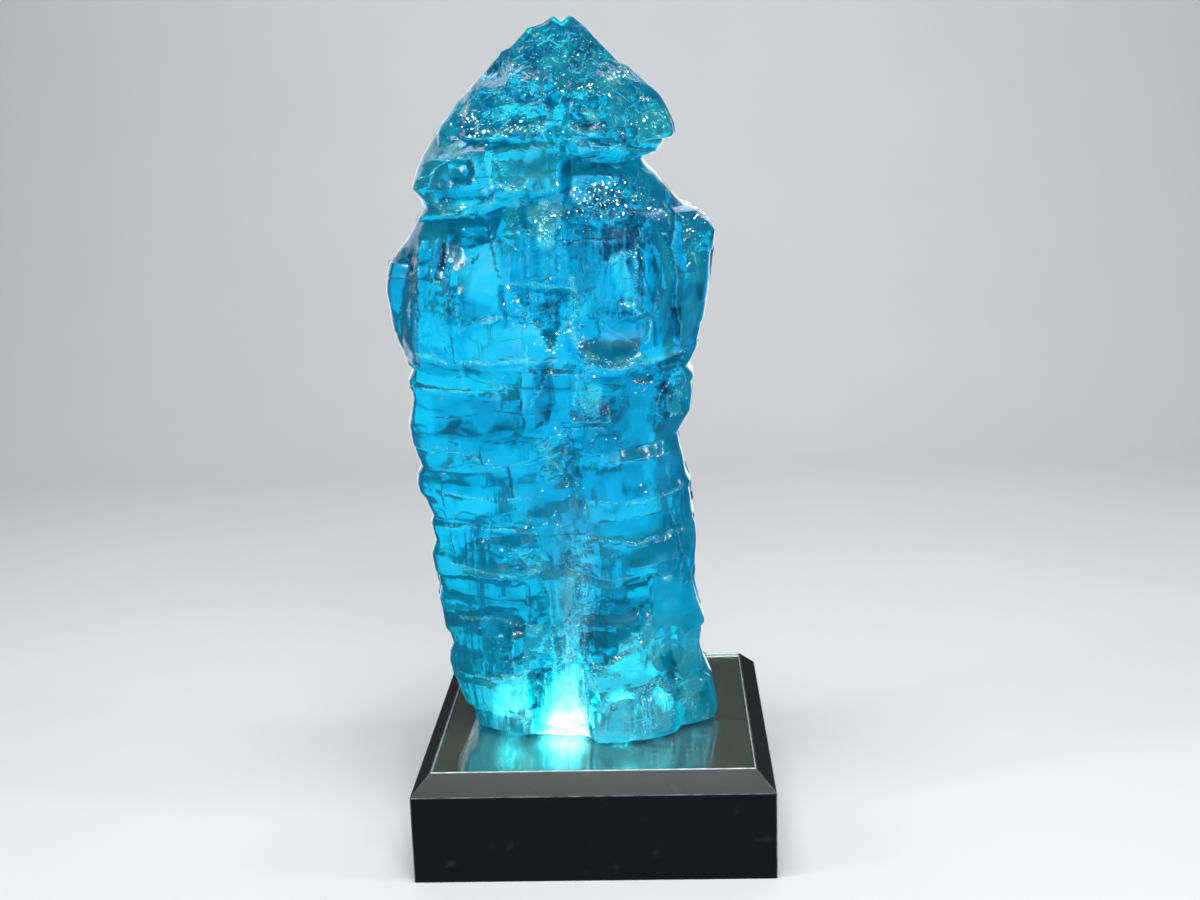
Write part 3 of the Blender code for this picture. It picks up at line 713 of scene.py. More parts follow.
def wander(x, y, z, width):
    """Smooth noise from -1 to 1 that changes over about width millimetres."""
    places = zip(x / width, y / width, z / width)
    return np.fromiter((noise.noise(place) for place in places), float, len(z))


def cell_numbers(cell, layer):
    """Three random numbers from 0 to 1 for each cell, the same each time for the same cell."""
    mixed = cell[0] * 73856093 ^ cell[1] * 19349663 ^ cell[2] * 83492791 ^ layer * 49979687
    for factor in (1274126177, 2246822519):
        mixed = (mixed ^ mixed >> 13) * factor & 0xFFFFFFFF
    return np.array([(mixed >> shift & 1023) / 1023 for shift in (0, 10, 20)])


def nearest_cells(x, y, z, width, height, layer):
    """Distance to the nearest and the next of scattered points, the way from the nearest, and its
    three random numbers, in widths and heights of a cell."""
    place = np.array((x / width, y / width, z / height))
    cell = np.floor(place).astype(np.int64)
    nearest, following = np.full_like(z, 9.0), np.full_like(z, 9.0)
    way, numbers = np.zeros_like(place), np.zeros_like(place)
    for step in itertools.product((-1, 0, 1), repeat=3):
        neighbour = cell + np.array(step)[:, None]
        offset = place - neighbour - cell_numbers(neighbour, layer)
        distance = np.sqrt((offset ** 2).sum(axis=0))
        following = np.minimum(following, np.maximum(nearest, distance))
        closer = distance < nearest
        nearest = np.where(closer, distance, nearest)
        way = np.where(closer, offset, way)
        numbers = np.where(closer, cell_numbers(neighbour, layer + 1), numbers)
    return nearest, following, way, numbers


def faces_in(x, y, z, width, height, deepest, layer):
    """Depth of broken faces, which meet in sharp ridges."""
    place = np.array((x / width, y / width, z / height))
    cell = np.floor(place).astype(np.int64)
    lowest = np.full_like(z, 9.0)
    for step in itertools.product((-1, 0, 1), repeat=3):
        neighbour = cell + np.array(step)[:, None]
        way = place - neighbour - cell_numbers(neighbour, layer)
        lean = 2 * cell_numbers(neighbour, layer + 1) - 1
        face = FACE_LEAN * (lean * way).sum(axis=0) + FACE_HOLLOW * (way ** 2).sum(axis=0)
        lowest = np.minimum(lowest, face)
    return deepest * (FACE_LOWEST - lowest)


def chips_in(x, y, z, width, height, rise, layer):
    """Depth of flat chips, each tilted its own way, with a step where two meet."""
    _, _, way, numbers = nearest_cells(x, y, z, width, height, layer)
    tilt = 2 * numbers - 1
    flat = tilt[0] * way[0] + tilt[1] * way[2] + CHIP_STEP * tilt[2]
    return rise * (0.5 - np.clip(flat, -0.5, 0.5))


def patch_share(across, height, patches):
    """1 inside the patches, fading to 0 just outside them."""
    share = np.zeros_like(height)
    for middle, level, half_width, half_height in patches:
        reach = np.hypot((across - middle) / half_width, (height - level) / half_height)
        share = np.maximum(share, np.clip(2.6 - 2.2 * reach, 0.0, 1.0))
    return share


def fine_relief(x, y, z, on_front):
    """Depth of what is too fine for the solid: small faces, chips and growth lines."""
    broken = patch_share(x, z, BROKEN_PATCHES) * on_front
    broken = np.maximum(broken, CAP_BROKEN * np.clip((z - CAP_FOOT) / CAP_FADE, 0.0, 1.0))
    lined = LINED_LEAST + (1 - LINED_LEAST) * patch_share(x, z, LINED_PATCHES) * on_front
    depth = np.zeros_like(z)
    for layer, faces in enumerate(FINE_FACES):
        depth += (SMOOTH_SHARE + broken) * faces_in(x, y, z, *faces, 10 + 2 * layer)
    for layer, chip in enumerate(CAP_CHIPS):
        depth += broken * chips_in(x, y, z, *chip, 20 + layer)
    depth += lined * chips_in(x, y, z, *UPRIGHT_CHIPS, 30)
    depth += (1 - broken) * chips_in(x, y, z, *TIER_CHIPS, 40)
    return depth


def fading_to_tip(height, above_tip, fade, least):
    """1, and towards the tip less, down to least."""
    return np.clip((TIP_HEIGHT + above_tip - height) / fade, least, 1.0)


def stone_points(angle, height):
    """Places on the stone's surface in millimetres from the middle of the glass, and its marks: the
    tone of its faces, with painted shade and light on the front's facets, the lamp's glow painted into
    the colour, and the painted highlight on the broken lips."""
    reach = section_reach(angle)
    across, deep = reach * np.cos(angle), reach * np.sin(angle)
    across = np.where(across > 0, across / across.max(), across / -across.min())
    deep = np.where(deep > 0, deep / deep.max(), deep / -deep.min())
    middle = read(MIDDLE, height)
    right, left = read(RIGHT_REACH, height) - middle, read(LEFT_REACH, height) + middle
    x = across * np.where(across > 0, right, left)
    y = deep * np.where(deep > 0, read(BACK_REACH, height), read(FRONT_REACH, height))

    turned = np.sin(angle)
    ledge_wander = LEDGE_WANDER * np.sin(LEDGE_WAVES * angle + height / LEDGE_TWIST) * turned ** 2
    z = height + ledge_wander * np.sin(math.pi * height / TIP_HEIGHT)
    across_dip, half_width, deepest, reach_down = TIP_DIP
    in_dip = np.clip(1 - np.abs(x + middle - across_dip) / half_width, 0.0, 1.0)
    z -= deepest * in_dip * np.clip(1 - (TIP_HEIGHT - height) / reach_down, 0.0, 1.0)
    aside, above = np.zeros_like(x), np.zeros_like(x)
    for most, width in BORDER_WANDER:
        aside += most * wander(x + NOISE_APART, y, z, width)
        above += most * wander(x - NOISE_APART, y, z, width)
    chance = np.random.default_rng(SEED)
    back_blocks, side_blocks = tier_blocks(chance, BACK_HALF_SPAN), tier_blocks(chance, SIDE_HALF_SPAN)
    front, front_tone_and_painted_shading = blocks_out(x + middle + aside, z + above, FRONT_BLOCKS)
    front -= hollows_in(x + middle + aside / 2, z + above / 2) + cleft_in(x + middle + aside, z)
    front -= pit_in(x + middle + aside / 3, z + above / 3)
    # The facets paint shade and light into the front's tone
    facets, front_tone_and_painted_shading = facets_in(x + middle + aside / 3, z + above / 3, front_tone_and_painted_shading)
    farthest, width = RIM_STRAY
    stray = farthest * wander(x, y, z + NOISE_APART, width)
    rims = rims_out(x + middle + aside / 3 + stray, z + above / 3 - stray)
    usual, swing = RIM_PRESENCE
    rims *= np.clip(usual + swing * wander(x, y, z - NOISE_APART, RIM_GAPS), 0.0, 1.0)
    front += RIM_RISE * rims - facets
    back, back_tone = blocks_out(x + aside, z + above, back_blocks)
    sides, side_tone = blocks_out(y + aside, z + above, side_blocks)
    sides -= SIDE_BLOCKS_SUNK
    front_share = np.clip(-FRONT_STEEPNESS * turned - FRONT_START, 0.0, 1.0)
    back_share = np.clip(FRONT_STEEPNESS * turned - FRONT_START, 0.0, 1.0)
    at_side = 1.0 - front_share - back_share
    knapped = faces_in(x, y, z, *BROKEN_FACES, 1)
    relief = fading_to_tip(height, *TIP_RELIEF)
    fine = fine_relief(x + middle, y, z, front_share) * fading_to_tip(height, *TIP_FINE_RELIEF)
    x_out = ((sides - knapped) * relief - fine) * (SIDE_RELIEF * at_side) * np.sign(x)
    y_out = ((back - knapped) * relief - fine) * back_share
    y_out -= ((front - knapped) * relief * read(WORN_RELIEF, height) - fine) * front_share
    tone = front_tone_and_painted_shading * front_share + back_tone * back_share + side_tone * at_side
    in_cap = np.clip((z - PALE_CAP_FOOT) / CAP_FADE, 0.0, 1.0)
    tone += CAP_TONE * in_cap
    for most, width in CLOUD_TONES:
        tone += most * wander(x, y, z, width)
    broken = np.maximum(patch_share(x + middle, z, BROKEN_PATCHES), in_cap)
    for number, (most, *size) in enumerate(FACE_TONES):
        share = broken if number else LARGE_FACES_LEAST + (1 - LARGE_FACES_LEAST) * broken
        tone += most * share * (2 * nearest_cells(x, y, z, *size, 70 + number)[3][1] - 1)
    most, *size = LINE_TONES
    lined = patch_share(x + middle, z, LINED_PATCHES) * front_share
    tone += most * lined * (nearest_cells(x, y, z, *size, 80)[3][1] - 0.5)
    glow_middle, half_width, strongest = (
        read([(row[0], row[column]) for row in CLEFT_GLOW], z) for column in (1, 2, 3)
    )
    farthest, width = GLOW_STRAY
    from_glow = x + middle - glow_middle + farthest * wander(x, y, z + GLOW_NOISE_AT, width)
    glow = strongest * np.exp(-np.abs(from_glow / half_width) ** 3) * front_share
    end_top, fade = GLOW_END_TOP
    passing = np.clip((z - end_top) / fade, 0.0, 1.0)
    glow *= np.clip((GLOW_RIGHT_END - x - middle) / GLOW_END_FADE, passing, 1.0)
    least, more = GLOW_STREAK_SHARES
    glow *= least + more * nearest_cells(x, y, z, *GLOW_STREAKS, 60)[3][0]
    least, more = RIM_SPECKLE_SHARES
    lips = rims * front_share * (least + more * nearest_cells(x, y, z, *RIM_SPECKLE, 50)[3][0])
    return x + x_out + middle, y + y_out, z, 0.5 + tone / 2, glow, lips


levels = np.linspace(0.0, TIP_HEIGHT, RINGS - 1)
turns = np.linspace(0.0, 2 * math.pi, RING_POINTS, endpoint=False)
heights, angles = (grid.ravel() for grid in np.meshgrid(levels, turns, indexing="ij"))
x, y, z, tone, glow, lips = stone_points(angles, heights)
foot = heights == 0
pull_in = 1 - FOOT_BEVEL / np.hypot(x, y)
x[foot] *= pull_in[foot]
y[foot] *= pull_in[foot]

# How much each point stands out of its four neighbours: lips of ledges above 0, corners below
grid = np.array((x, y, z)).reshape(3, RINGS - 1, RING_POINTS)
around = np.roll(grid, -1, axis=2) - np.roll(grid, 1, axis=2)
upward = np.gradient(grid, axis=1)
outward = np.cross(around, upward, axis=0)
outward /= np.linalg.norm(outward, axis=0)
padded = np.pad(grid, ((0, 0), (1, 1), (0, 0)), mode="edge")
neighbours = (np.roll(grid, 1, axis=2) + np.roll(grid, -1, axis=2) + padded[:, 2:] + padded[:, :-2]) / 4
stands_out = ((grid - neighbours) * outward).sum(axis=0)
pitch = np.sqrt((around ** 2).sum(axis=0) / 4 + (upward ** 2).sum(axis=0)) / math.sqrt(2)
turned_out = np.degrees(np.arctan2(stands_out, pitch)) * 4
turned_out[0] = turned_out[-1] = 0.0
# Ridges and lips are marked to be paler: the paleness of broken stone and a painted highlight
edge = np.clip((turned_out - EDGE_TURNS[0]) / (EDGE_TURNS[1] - EDGE_TURNS[0]), 0.0, 1.0).ravel()
edge = np.minimum(edge + lips, 1.0)

stone_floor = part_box("crystal")[0].z
ends = [(0.0, 0.0, 0.0), (MIDDLE[-1][1], 0.0, TIP_HEIGHT - TIP_NOTCH)]
points = np.vstack((np.column_stack((x, y, z)), ends)) * MM
points[:, 2] += stone_floor
across_ring = np.arange(RING_POINTS)
next_along = np.roll(across_ring, -1)
faces = []
for ring in range(RINGS - 2):
    low, high = ring * RING_POINTS, (ring + 1) * RING_POINTS
    faces.extend(zip(low + across_ring, low + next_along, high + next_along, high + across_ring))
foot_middle, tip = len(x), len(x) + 1
faces.extend((foot_middle, following, point) for point, following in zip(across_ring, next_along))
last = (RINGS - 2) * RING_POINTS
faces.extend((tip, last + point, last + following) for point, following in zip(across_ring, next_along))
mesh = bpy.data.meshes.new("aquamarine_stone")
mesh.from_pydata(points.tolist(), [], [tuple(int(corner) for corner in face) for face in faces])
for name, values in (("edge", edge), ("tone", tone), ("glow", glow)):
    attribute = mesh.attributes.new(name, "FLOAT", "POINT")
    attribute.data.foreach_set("value", np.append(values, (0.0, 0.0)).astype(np.float32))

# The stone's clear blue: light loses its red in a few centimetres, and its green and blue slowly.
# Lips and fine breaks are paler and duller, as broken edges are, and paler still by a painted highlight.
BERYL_INDEX = 1.575
BERYL_DEEP = (0.0, 0.08, 0.16, 1.0)
BERYL_BODY = (0.0, 0.56, 0.84, 1.0)
BERYL_LIGHT = (0.06, 0.94, 1.0, 1.0)
BERYL_LIP_PALENESS_AND_HIGHLIGHT = (0.3, 1.0, 1.0, 1.0)
FOOT_DEEP = (0.0, 0.07, 0.11, 1.0)
FOOT_BODY = (0.0, 0.62, 0.7, 1.0)
FOOT_LIGHT = (0.25, 1.0, 0.98, 1.0)
BERYL_GLOW = (0.8, 1.0, 1.0, 1.0)
FOOT_COLOUR_HEIGHTS = (0.09, 0.26)
BERYL_CLEARNESS = 0.76
BERYL_ROUGHNESS = (0.1, 0.22)
BERYL_PASSES = (0.0, 0.87, 0.94, 1.0)
BERYL_DENSITY = 30.0

beryl, nodes, links, shader = new_material("aquamarine")
shader.inputs["Transmission Weight"].default_value = BERYL_CLEARNESS
shader.inputs["IOR"].default_value = BERYL_INDEX
shader.inputs["Specular IOR Level"].default_value = 0.1
marks = {}
for name in ("edge", "tone", "glow"):
    mark = nodes.new("ShaderNodeAttribute")
    mark.attribute_name = name
    marks[name] = mark.outputs["Fac"]
place = nodes.new("ShaderNodeTexCoord")
upright = nodes.new("ShaderNodeSeparateXYZ")
links.new(place.outputs["Object"], upright.inputs["Vector"])
low_share = nodes.new("ShaderNodeMapRange")
low_share.inputs["From Min"].default_value = FOOT_COLOUR_HEIGHTS[1]
low_share.inputs["From Max"].default_value = FOOT_COLOUR_HEIGHTS[0]
links.new(upright.outputs["Z"], low_share.inputs["Value"])
# The tone's dark and light ends are painted shade and painted light on the front's facets
body = ramp(nodes, links, marks["tone"], ((0.0, BERYL_DEEP), (0.5, BERYL_BODY), (1.0, BERYL_LIGHT)))
foot = ramp(nodes, links, marks["tone"], ((0.0, FOOT_DEEP), (0.5, FOOT_BODY), (1.0, FOOT_LIGHT)))
colour = mixed_colour(nodes, links, low_share.outputs["Result"], body, foot)
colour = mixed_colour(nodes, links, marks["glow"], colour, BERYL_GLOW)
# Ridges and lips paler: the paleness of broken stone and a painted highlight
colour = mixed_colour(nodes, links, marks["edge"], colour, BERYL_LIP_PALENESS_AND_HIGHLIGHT)
links.new(colour, shader.inputs["Base Color"])
haze = object_noise(nodes, links, 30, 5.0)
dullness = spread(nodes, links, haze, *BERYL_ROUGHNESS)
for share, least in ((marks["glow"], 0.5), (low_share.outputs["Result"], 0.45)):
    clearer = nodes.new("ShaderNodeMath")
    clearer.operation = "MULTIPLY"
    links.new(dullness, clearer.inputs[0])
    links.new(spread(nodes, links, share, 1.0, least), clearer.inputs[1])
    dullness = clearer.outputs["Value"]
links.new(dullness, shader.inputs["Roughness"])
growth_lines = object_noise(nodes, links, 420, 3.0, stretch=(1.0, 1.0, 0.06))
bump(nodes, links, shader, growth_lines, 0.25, 0.0006)
absorption = add_node(nodes, "ShaderNodeVolumeAbsorption", Color=BERYL_PASSES, Density=BERYL_DENSITY)
links.new(absorption.outputs["Volume"], nodes["Material Output"].inputs["Volume"])

mesh.materials.append(beryl)
stone = bpy.data.objects.new("aquamarine_stone", mesh)
scene.collection.objects.link(stone)
fewer = stone.modifiers.new("fewer_faces", "DECIMATE")
fewer.ratio = STONE_TRIANGLES / (4 * RING_POINTS * (RINGS - 1) / 2)
bpy.context.view_layer.update()
reduced = bpy.data.meshes.new_from_object(stone.evaluated_get(bpy.context.evaluated_depsgraph_get()))
stone.modifiers.clear()
stone.data = reduced
stone.data.shade_smooth()
stone.data.set_sharp_from_angle(angle=SHARPEST_SMOOTH)
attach(stone, "root")
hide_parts("crystal")


# Cracks inside the stone: thin, frosty, air-filled lenses left by old breaks. Over the lamp they
# fill the foot with white light, and higher up they show as pale flakes and faint veils.
# Rows of (across, height, behind the front, half width, half height, turn, lean, strength)
CRACKS = (
    (-14, 14, 10, 15, 16, 10, -5, 1.0), (-20, 38, 13, 10, 26, -25, 5, 1.0),
    (-8, 30, 18, 9, 28, 30, 0, 1.0), (-26, 10, 14, 18, 10, -10, 15, 0.9),
    (-32, 26, 20, 16, 22, 40, -8, 0.8), (-2, 50, 20, 8, 18, 15, 10, 0.9),
    (20, 30, 18, 14, 12, -20, 30, 0.6), (36, 62, 20, 12, 14, 20, 20, 0.6),
    (46, 20, 16, 12, 12, -30, 10, 0.6), (-66, 22, 18, 16, 18, 30, 10, 0.6),
    (-50, 32, 24, 12, 18, -20, 5, 0.7), (-20, 70, 22, 12, 20, -10, 5, 0.8),
    (-22, 98, 20, 12, 26, 20, 5, 0.6), (-14, 126, 22, 10, 26, -25, -5, 0.5),
    (-26, 150, 24, 12, 20, 15, 10, 0.45), (-8, 176, 26, 10, 18, -15, 0, 0.4),
    (-22, 372, 6, 13, 12, 0, 20, 0.15), (-28, 379, 5, 9, 7, 30, -10, 0.15),
    (-15, 365, 6, 7, 10, -30, 10, 0.15), (-28, 316, 14, 11, 7, 20, -30, 0.8),
    (-22, 300, 14, 8, 8, -30, 10, 0.7), (6, 203, 10, 5, 3, 30, 40, 1.0),
    (-57, 144, 10, 5, 3, -20, 30, 1.0), (-43, 123, 10, 6, 4, 20, -35, 1.0),
    (5, 251, 8, 9, 10, 0, 15, 0.2), (-60, 262, 8, 9, 5, 0, 20, 0.5),
    (12, 442, 7, 6, 7, 20, -10, 0.9), (-70, 446, 8, 10, 6, -15, 10, 0.6),
    (24, 466, 7, 9, 6, 10, 20, 0.6), (-82, 418, 8, 14, 6, 5, 30, 0.6),
)
# The veils are scattered over these heights, this share of the way to the side, and this deep
VEILS = 34
VEIL_HEIGHTS = (20, 440)
VEIL_ACROSS = 0.6
VEIL_BEHIND = (25, 100)
VEIL_HALF_SIZE = (14, 34)
VEIL_TURN = 70
VEIL_LEAN = 30
VEIL_STRENGTH = (0.10, 0.26)
CRACK_RINGS = 7
CRACK_POINTS = 22
CRACK_OUTLINE = (0.75, 0.35)
CRACK_THICKNESS = 0.35
# A crack bends by this share of its half width, and waves this often across and up
CRACK_BEND = 0.12
CRACK_WAVES = (2.2, 2.8)
# A crack keeps at least this far behind the stone's surface, which is read over this share of it
CRACK_COVER = 1.5
CRACK_NEAR = 0.6
# Points whose normal's y is less than this belong to the front
FACING_FRONT = -0.2

frosty, nodes, links, shader = new_material("frosty_crack")
strength = nodes.new("ShaderNodeAttribute")
strength.attribute_name = "strength"
grain = object_noise(nodes, links, 330, 6.0, stretch=(1.0, 1.0, 0.16))
grain_share = ramp(nodes, links, grain, ((0.38, (0.15, 0.15, 0.15, 1)), (0.62, (1, 1, 1, 1))))
opacity = nodes.new("ShaderNodeMath")
opacity.operation = "MULTIPLY"
links.new(strength.outputs["Fac"], opacity.inputs[0])
links.new(grain_share, opacity.inputs[1])
links.new(opacity.outputs["Value"], shader.inputs["Alpha"])
icy_white = ramp(nodes, links, grain, ((0.3, (0.72, 0.98, 1, 1)), (0.7, (1, 1, 1, 1))))
links.new(icy_white, shader.inputs["Base Color"])
shader.inputs["Roughness"].default_value = 0.45


def nearest_point(across, level):
    return facing[np.hypot(x[facing] - across, z[facing] - level).argmin()]


def deepest_front(across, level, half_width, half_height):
    """How far back the front goes within half_width and half_height of a place."""
    near = (np.abs(x[facing] - across) < half_width) & (np.abs(z[facing] - level) < half_height)
    return np.percentile(y[facing][near], 92) if near.any() else y[nearest_point(across, level)]


normals = outward.reshape(3, -1)
facing = np.flatnonzero(normals[1] < FACING_FRONT)
chance = np.random.default_rng(SEED + 3)
rows = list(CRACKS)
while len(rows) < len(CRACKS) + VEILS:
    level = chance.uniform(*VEIL_HEIGHTS)
    rows.append((
        chance.uniform(-VEIL_ACROSS, VEIL_ACROSS) * read(RIGHT_REACH, level), level,
        chance.uniform(*VEIL_BEHIND), chance.uniform(*VEIL_HALF_SIZE), chance.uniform(*VEIL_HALF_SIZE),
        chance.uniform(-VEIL_TURN, VEIL_TURN), chance.uniform(-VEIL_LEAN, VEIL_LEAN),
        chance.uniform(*VEIL_STRENGTH),
    ))
on_glass = Vector((0, 0, stone_floor))
crack_points, crack_strengths, crack_faces = [], [], []
for across, level, behind, half_width, half_height, turn, lean, strongest in rows:
    first = len(crack_points)
    turn, lean = math.radians(turn), math.radians(lean)
    forward_reach = half_width * abs(math.sin(turn)) + half_height * abs(math.sin(lean))
    front = deepest_front(across, level, CRACK_NEAR * half_width, CRACK_NEAR * half_height)
    middle = Vector((across, front + max(behind, forward_reach + CRACK_COVER), level))
    way = Matrix.Rotation(turn, 3, "Z") @ Matrix.Rotation(lean, 3, "X")
    smallest, spare = CRACK_OUTLINE
    outline = smallest + spare * chance.random(CRACK_POINTS)
    waves = chance.uniform(0, 2 * math.pi, 3)
    for side in (-1, 1):
        for ring in range(1, CRACK_RINGS + 1):
            share = ring / CRACK_RINGS
            for number in range(CRACK_POINTS):
                angle = 2 * math.pi * number / CRACK_POINTS
                reach = share * (1 + (outline[number] - 1) * share)
                out_x, out_z = math.cos(angle) * reach, math.sin(angle) * reach
                bend = math.sin(CRACK_WAVES[0] * out_x + waves[0])
                bend += math.sin(CRACK_WAVES[1] * out_z + waves[1])
                swell = side * CRACK_THICKNESS * (1 - share ** 2) if ring < CRACK_RINGS else 0.0
                out_y = bend * CRACK_BEND * half_width + swell
                local = Vector((out_x * half_width, out_y, out_z * half_height))
                crack_points.append((middle + way @ local) * MM + on_glass)
                crack_strengths.append(strongest * (1 - share ** 3))
        bend = math.sin(waves[0]) + math.sin(waves[1])
        local = Vector((0.0, bend * CRACK_BEND * half_width + side * CRACK_THICKNESS, 0.0))
        crack_points.append((middle + way @ local) * MM + on_glass)
        crack_strengths.append(strongest)
    side_points = CRACK_RINGS * CRACK_POINTS + 1
    for side in (0, 1):
        start = first + side * side_points
        centre = start + side_points - 1
        for number in range(CRACK_POINTS):
            following = (number + 1) % CRACK_POINTS
            fans = [(centre, start + number, start + following)]
            for ring in range(CRACK_RINGS - 1):
                low, high = start + ring * CRACK_POINTS, start + (ring + 1) * CRACK_POINTS
                fans.append((low + number, high + number, high + following, low + following))
            crack_faces.extend(fans if side else [face[::-1] for face in fans])
crack_mesh = bpy.data.meshes.new("inner_cracks")
crack_mesh.from_pydata(crack_points, [], crack_faces)
attribute = crack_mesh.attributes.new("strength", "FLOAT", "POINT")
attribute.data.foreach_set("value", np.array(crack_strengths, np.float32))
shape = bmesh.new()
shape.from_mesh(crack_mesh)
bmesh.ops.remove_doubles(shape, verts=shape.verts, dist=0.00001)
shape.to_mesh(crack_mesh)
shape.free()
crack_mesh.materials.append(frosty)
crack_mesh.shade_smooth()
cracks = bpy.data.objects.new("inner_cracks", crack_mesh)
scene.collection.objects.link(cracks)
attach(cracks, "root")
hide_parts("crystal")


# Flakes: small pale splinters that stay along the broken lips and in the shattered patches. Each
# has a thin four-sided face and a root in the stone.
FLAKE_PITCH = 0.75
FLAKE_RADII = (0.3, 0.95)
# Flakes have these radii on a rim this wide, and smaller ones on thinner rims
FLAKE_RIM = 1.9
FLAKE_SLENDERNESS = (0.25, 0.8)
FLAKE_CORNER_TURN = 0.4
FLAKE_CORNER_REACH = (0.6, 1.1)
FLAKE_TILT = 0.45
# Flakes are left out where the noise is under a number drawn between these
FLAKE_GAPS = (-0.5, 0.3)
PATCH_FLAKES = 0.14
FLAKE_PROUD = 0.12
FLAKE_ROOT = 0.9
# The highest flakes are this far under the tip
HIGHEST_FLAKE = 6

pale_break, nodes, links, shader = new_material("pale_break")
shader.inputs["Roughness"].default_value = 0.25
frost = object_noise(nodes, links, 500, 3.0)
frost_colours = ((0.35, (0.0, 0.42, 0.62, 1)), (0.52, (0.1, 0.9, 1, 1)), (0.7, (0.9, 1, 1, 1)))
links.new(ramp(nodes, links, frost, frost_colours), shader.inputs["Base Color"])


def add_flake(shape, middle, face_way, along, radius, slenderness):
    """A thin face towards face_way, long in the direction along."""
    beyond = face_way.cross(along).normalized()
    beside = beyond.cross(face_way)
    corners = []
    for corner in range(4):
        angle = corner * math.pi / 2 + chance.uniform(-FLAKE_CORNER_TURN, FLAKE_CORNER_TURN)
        reach = radius * chance.uniform(*FLAKE_CORNER_REACH)
        out = beside * math.cos(angle) * reach + beyond * math.sin(angle) * reach * slenderness
        corners.append(shape.verts.new(middle + out + face_way * FLAKE_PROUD * MM))
    root = shape.verts.new(middle - face_way * FLAKE_ROOT * MM)
    shape.faces.new(corners)
    for first, second in zip(corners, corners[1:] + corners[:1]):
        shape.faces.new((second, first, root))


chance = np.random.default_rng(SEED + 4)
shape = bmesh.new()
flake_places = []
for half_width, *rim in RIMS:
    for (x0, z0), (x1, z1) in zip(rim, rim[1:]):
        for share in np.arange(0, 1, FLAKE_PITCH / math.hypot(x1 - x0, z1 - z0)):
            aside, above = chance.normal(0.0, 0.5 * half_width, 2)
            way = Vector((x1 - x0, 0.0, z1 - z0))
            across, level = x0 + share * (x1 - x0) + aside, z0 + share * (z1 - z0) + above
            flake_places.append((across, level, way, half_width / FLAKE_RIM))
for middle, level, half_width, half_height in BROKEN_PATCHES:
    for _ in range(int(PATCH_FLAKES * half_width * half_height)):
        aside, above = chance.normal(0.0, 0.5, 2)
        way = Vector(chance.normal(0.0, 1.0, 3))
        flake_places.append((middle + aside * half_width, level + above * half_height, way, 1.0))
gaps = wander(*(np.array([place[axis] for place in flake_places]) for axis in (0, 1, 1)), RIM_GAPS)
for (across, level, way, share), gap in zip(flake_places, gaps):
    if gap < chance.uniform(*FLAKE_GAPS) or level > TIP_HEIGHT - HIGHEST_FLAKE:
        continue
    nearest = nearest_point(across, level)
    face_way = (Vector(normals[:, nearest]) + Vector(chance.normal(0.0, FLAKE_TILT, 3))).normalized()
    radius = share * chance.uniform(*FLAKE_RADII) * MM
    add_flake(shape, Vector(points[nearest]), face_way, way, radius, chance.uniform(*FLAKE_SLENDERNESS))
flakes = finished_object("lip_flakes", shape, pale_break)
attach(flakes, "root")
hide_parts("crystal")


# Glints: small mirror-bright faces of cracks that come out at the stone's broken patches. Faces
# broken along one direction flash together in a lamp's light.
# Patches as (across, height, half width, half height, number of faces)
GLINT_PATCHES = (
    (16, 398, 20, 8, 40), (28, 384, 18, 10, 50), (8, 389, 11, 7, 26), (53, 380, 8, 5, 14),
    (83, 376, 8, 7, 14), (74, 369, 5, 5, 6), (-75, 445, 10, 5, 22), (-64, 435, 20, 7, 30),
    (-37, 437, 19, 4, 24), (26, 470, 8, 7, 18), (15, 462, 10, 7, 16), (-45, 480, 5, 4, 5),
    (-38, 472, 14, 5, 12), (-1, 482, 5, 7, 6), (47, 439, 10, 5, 14), (60, 439, 5, 5, 6),
    (-10, 467, 8, 7, 8), (-78, 387, 20, 4, 14), (-47, 400, 14, 3, 14), (-21, 375, 11, 10, 26),
    (-36, 323, 14, 10, 18), (-29, 310, 11, 10, 10), (-99, 349, 7, 5, 5), (-74, 370, 3, 2, 2),
    (-59, 270, 10, 5, 12), (43, 262, 7, 7, 12), (2, 272, 11, 4, 8), (35, 350, 8, 4, 8),
    (33, 319, 5, 3, 5), (75, 347, 5, 5, 8), (1, 292, 10, 8, 14), (-21, 293, 8, 8, 14),
    (-14, 240, 10, 14, 10), (-58, 146, 5, 3, 5), (-36, 161, 14, 10, 8), (-19, 175, 14, 14, 8),
    (-67, 206, 8, 10, 6), (-23, 78, 14, 18, 14), (-52, 57, 11, 11, 8), (42, 77, 11, 8, 8),
    (77, 76, 5, 11, 5), (11, 225, 18, 14, 8), (44, 181, 14, 10, 6),
)
GLINT_SPREAD = 0.55
# Radii of small and large faces, as (smallest, how much more)
GLINT_RADII = ((0.3, 0.5), (0.8, 1.0))
# Large faces are this share of the glints, in patches with at least this many
LARGE_SHARE = 0.25
CROWDED = 14
GLINT_SLENDERNESS = (0.25, 0.9)
GLINT_TILT = 0.06
# Where the studio's soft lights stand: on the left, on the right and above
LIT_FROM = (Vector((-1.4, -0.6, 1.1)), Vector((1.5, -0.4, 0.9)), Vector((0.0, -0.42, 1.75)))

flash, nodes, links, shader = new_material("crack_flash")
shader.inputs["Metallic"].default_value = 0.6
frost = object_noise(nodes, links, 900, 2.0)
silvery = ramp(nodes, links, frost, ((0.3, (0.8, 0.97, 1, 1)), (0.7, (1, 1, 1, 1))))
links.new(silvery, shader.inputs["Base Color"])
links.new(spread(nodes, links, frost, 0.05, 0.2), shader.inputs["Roughness"])

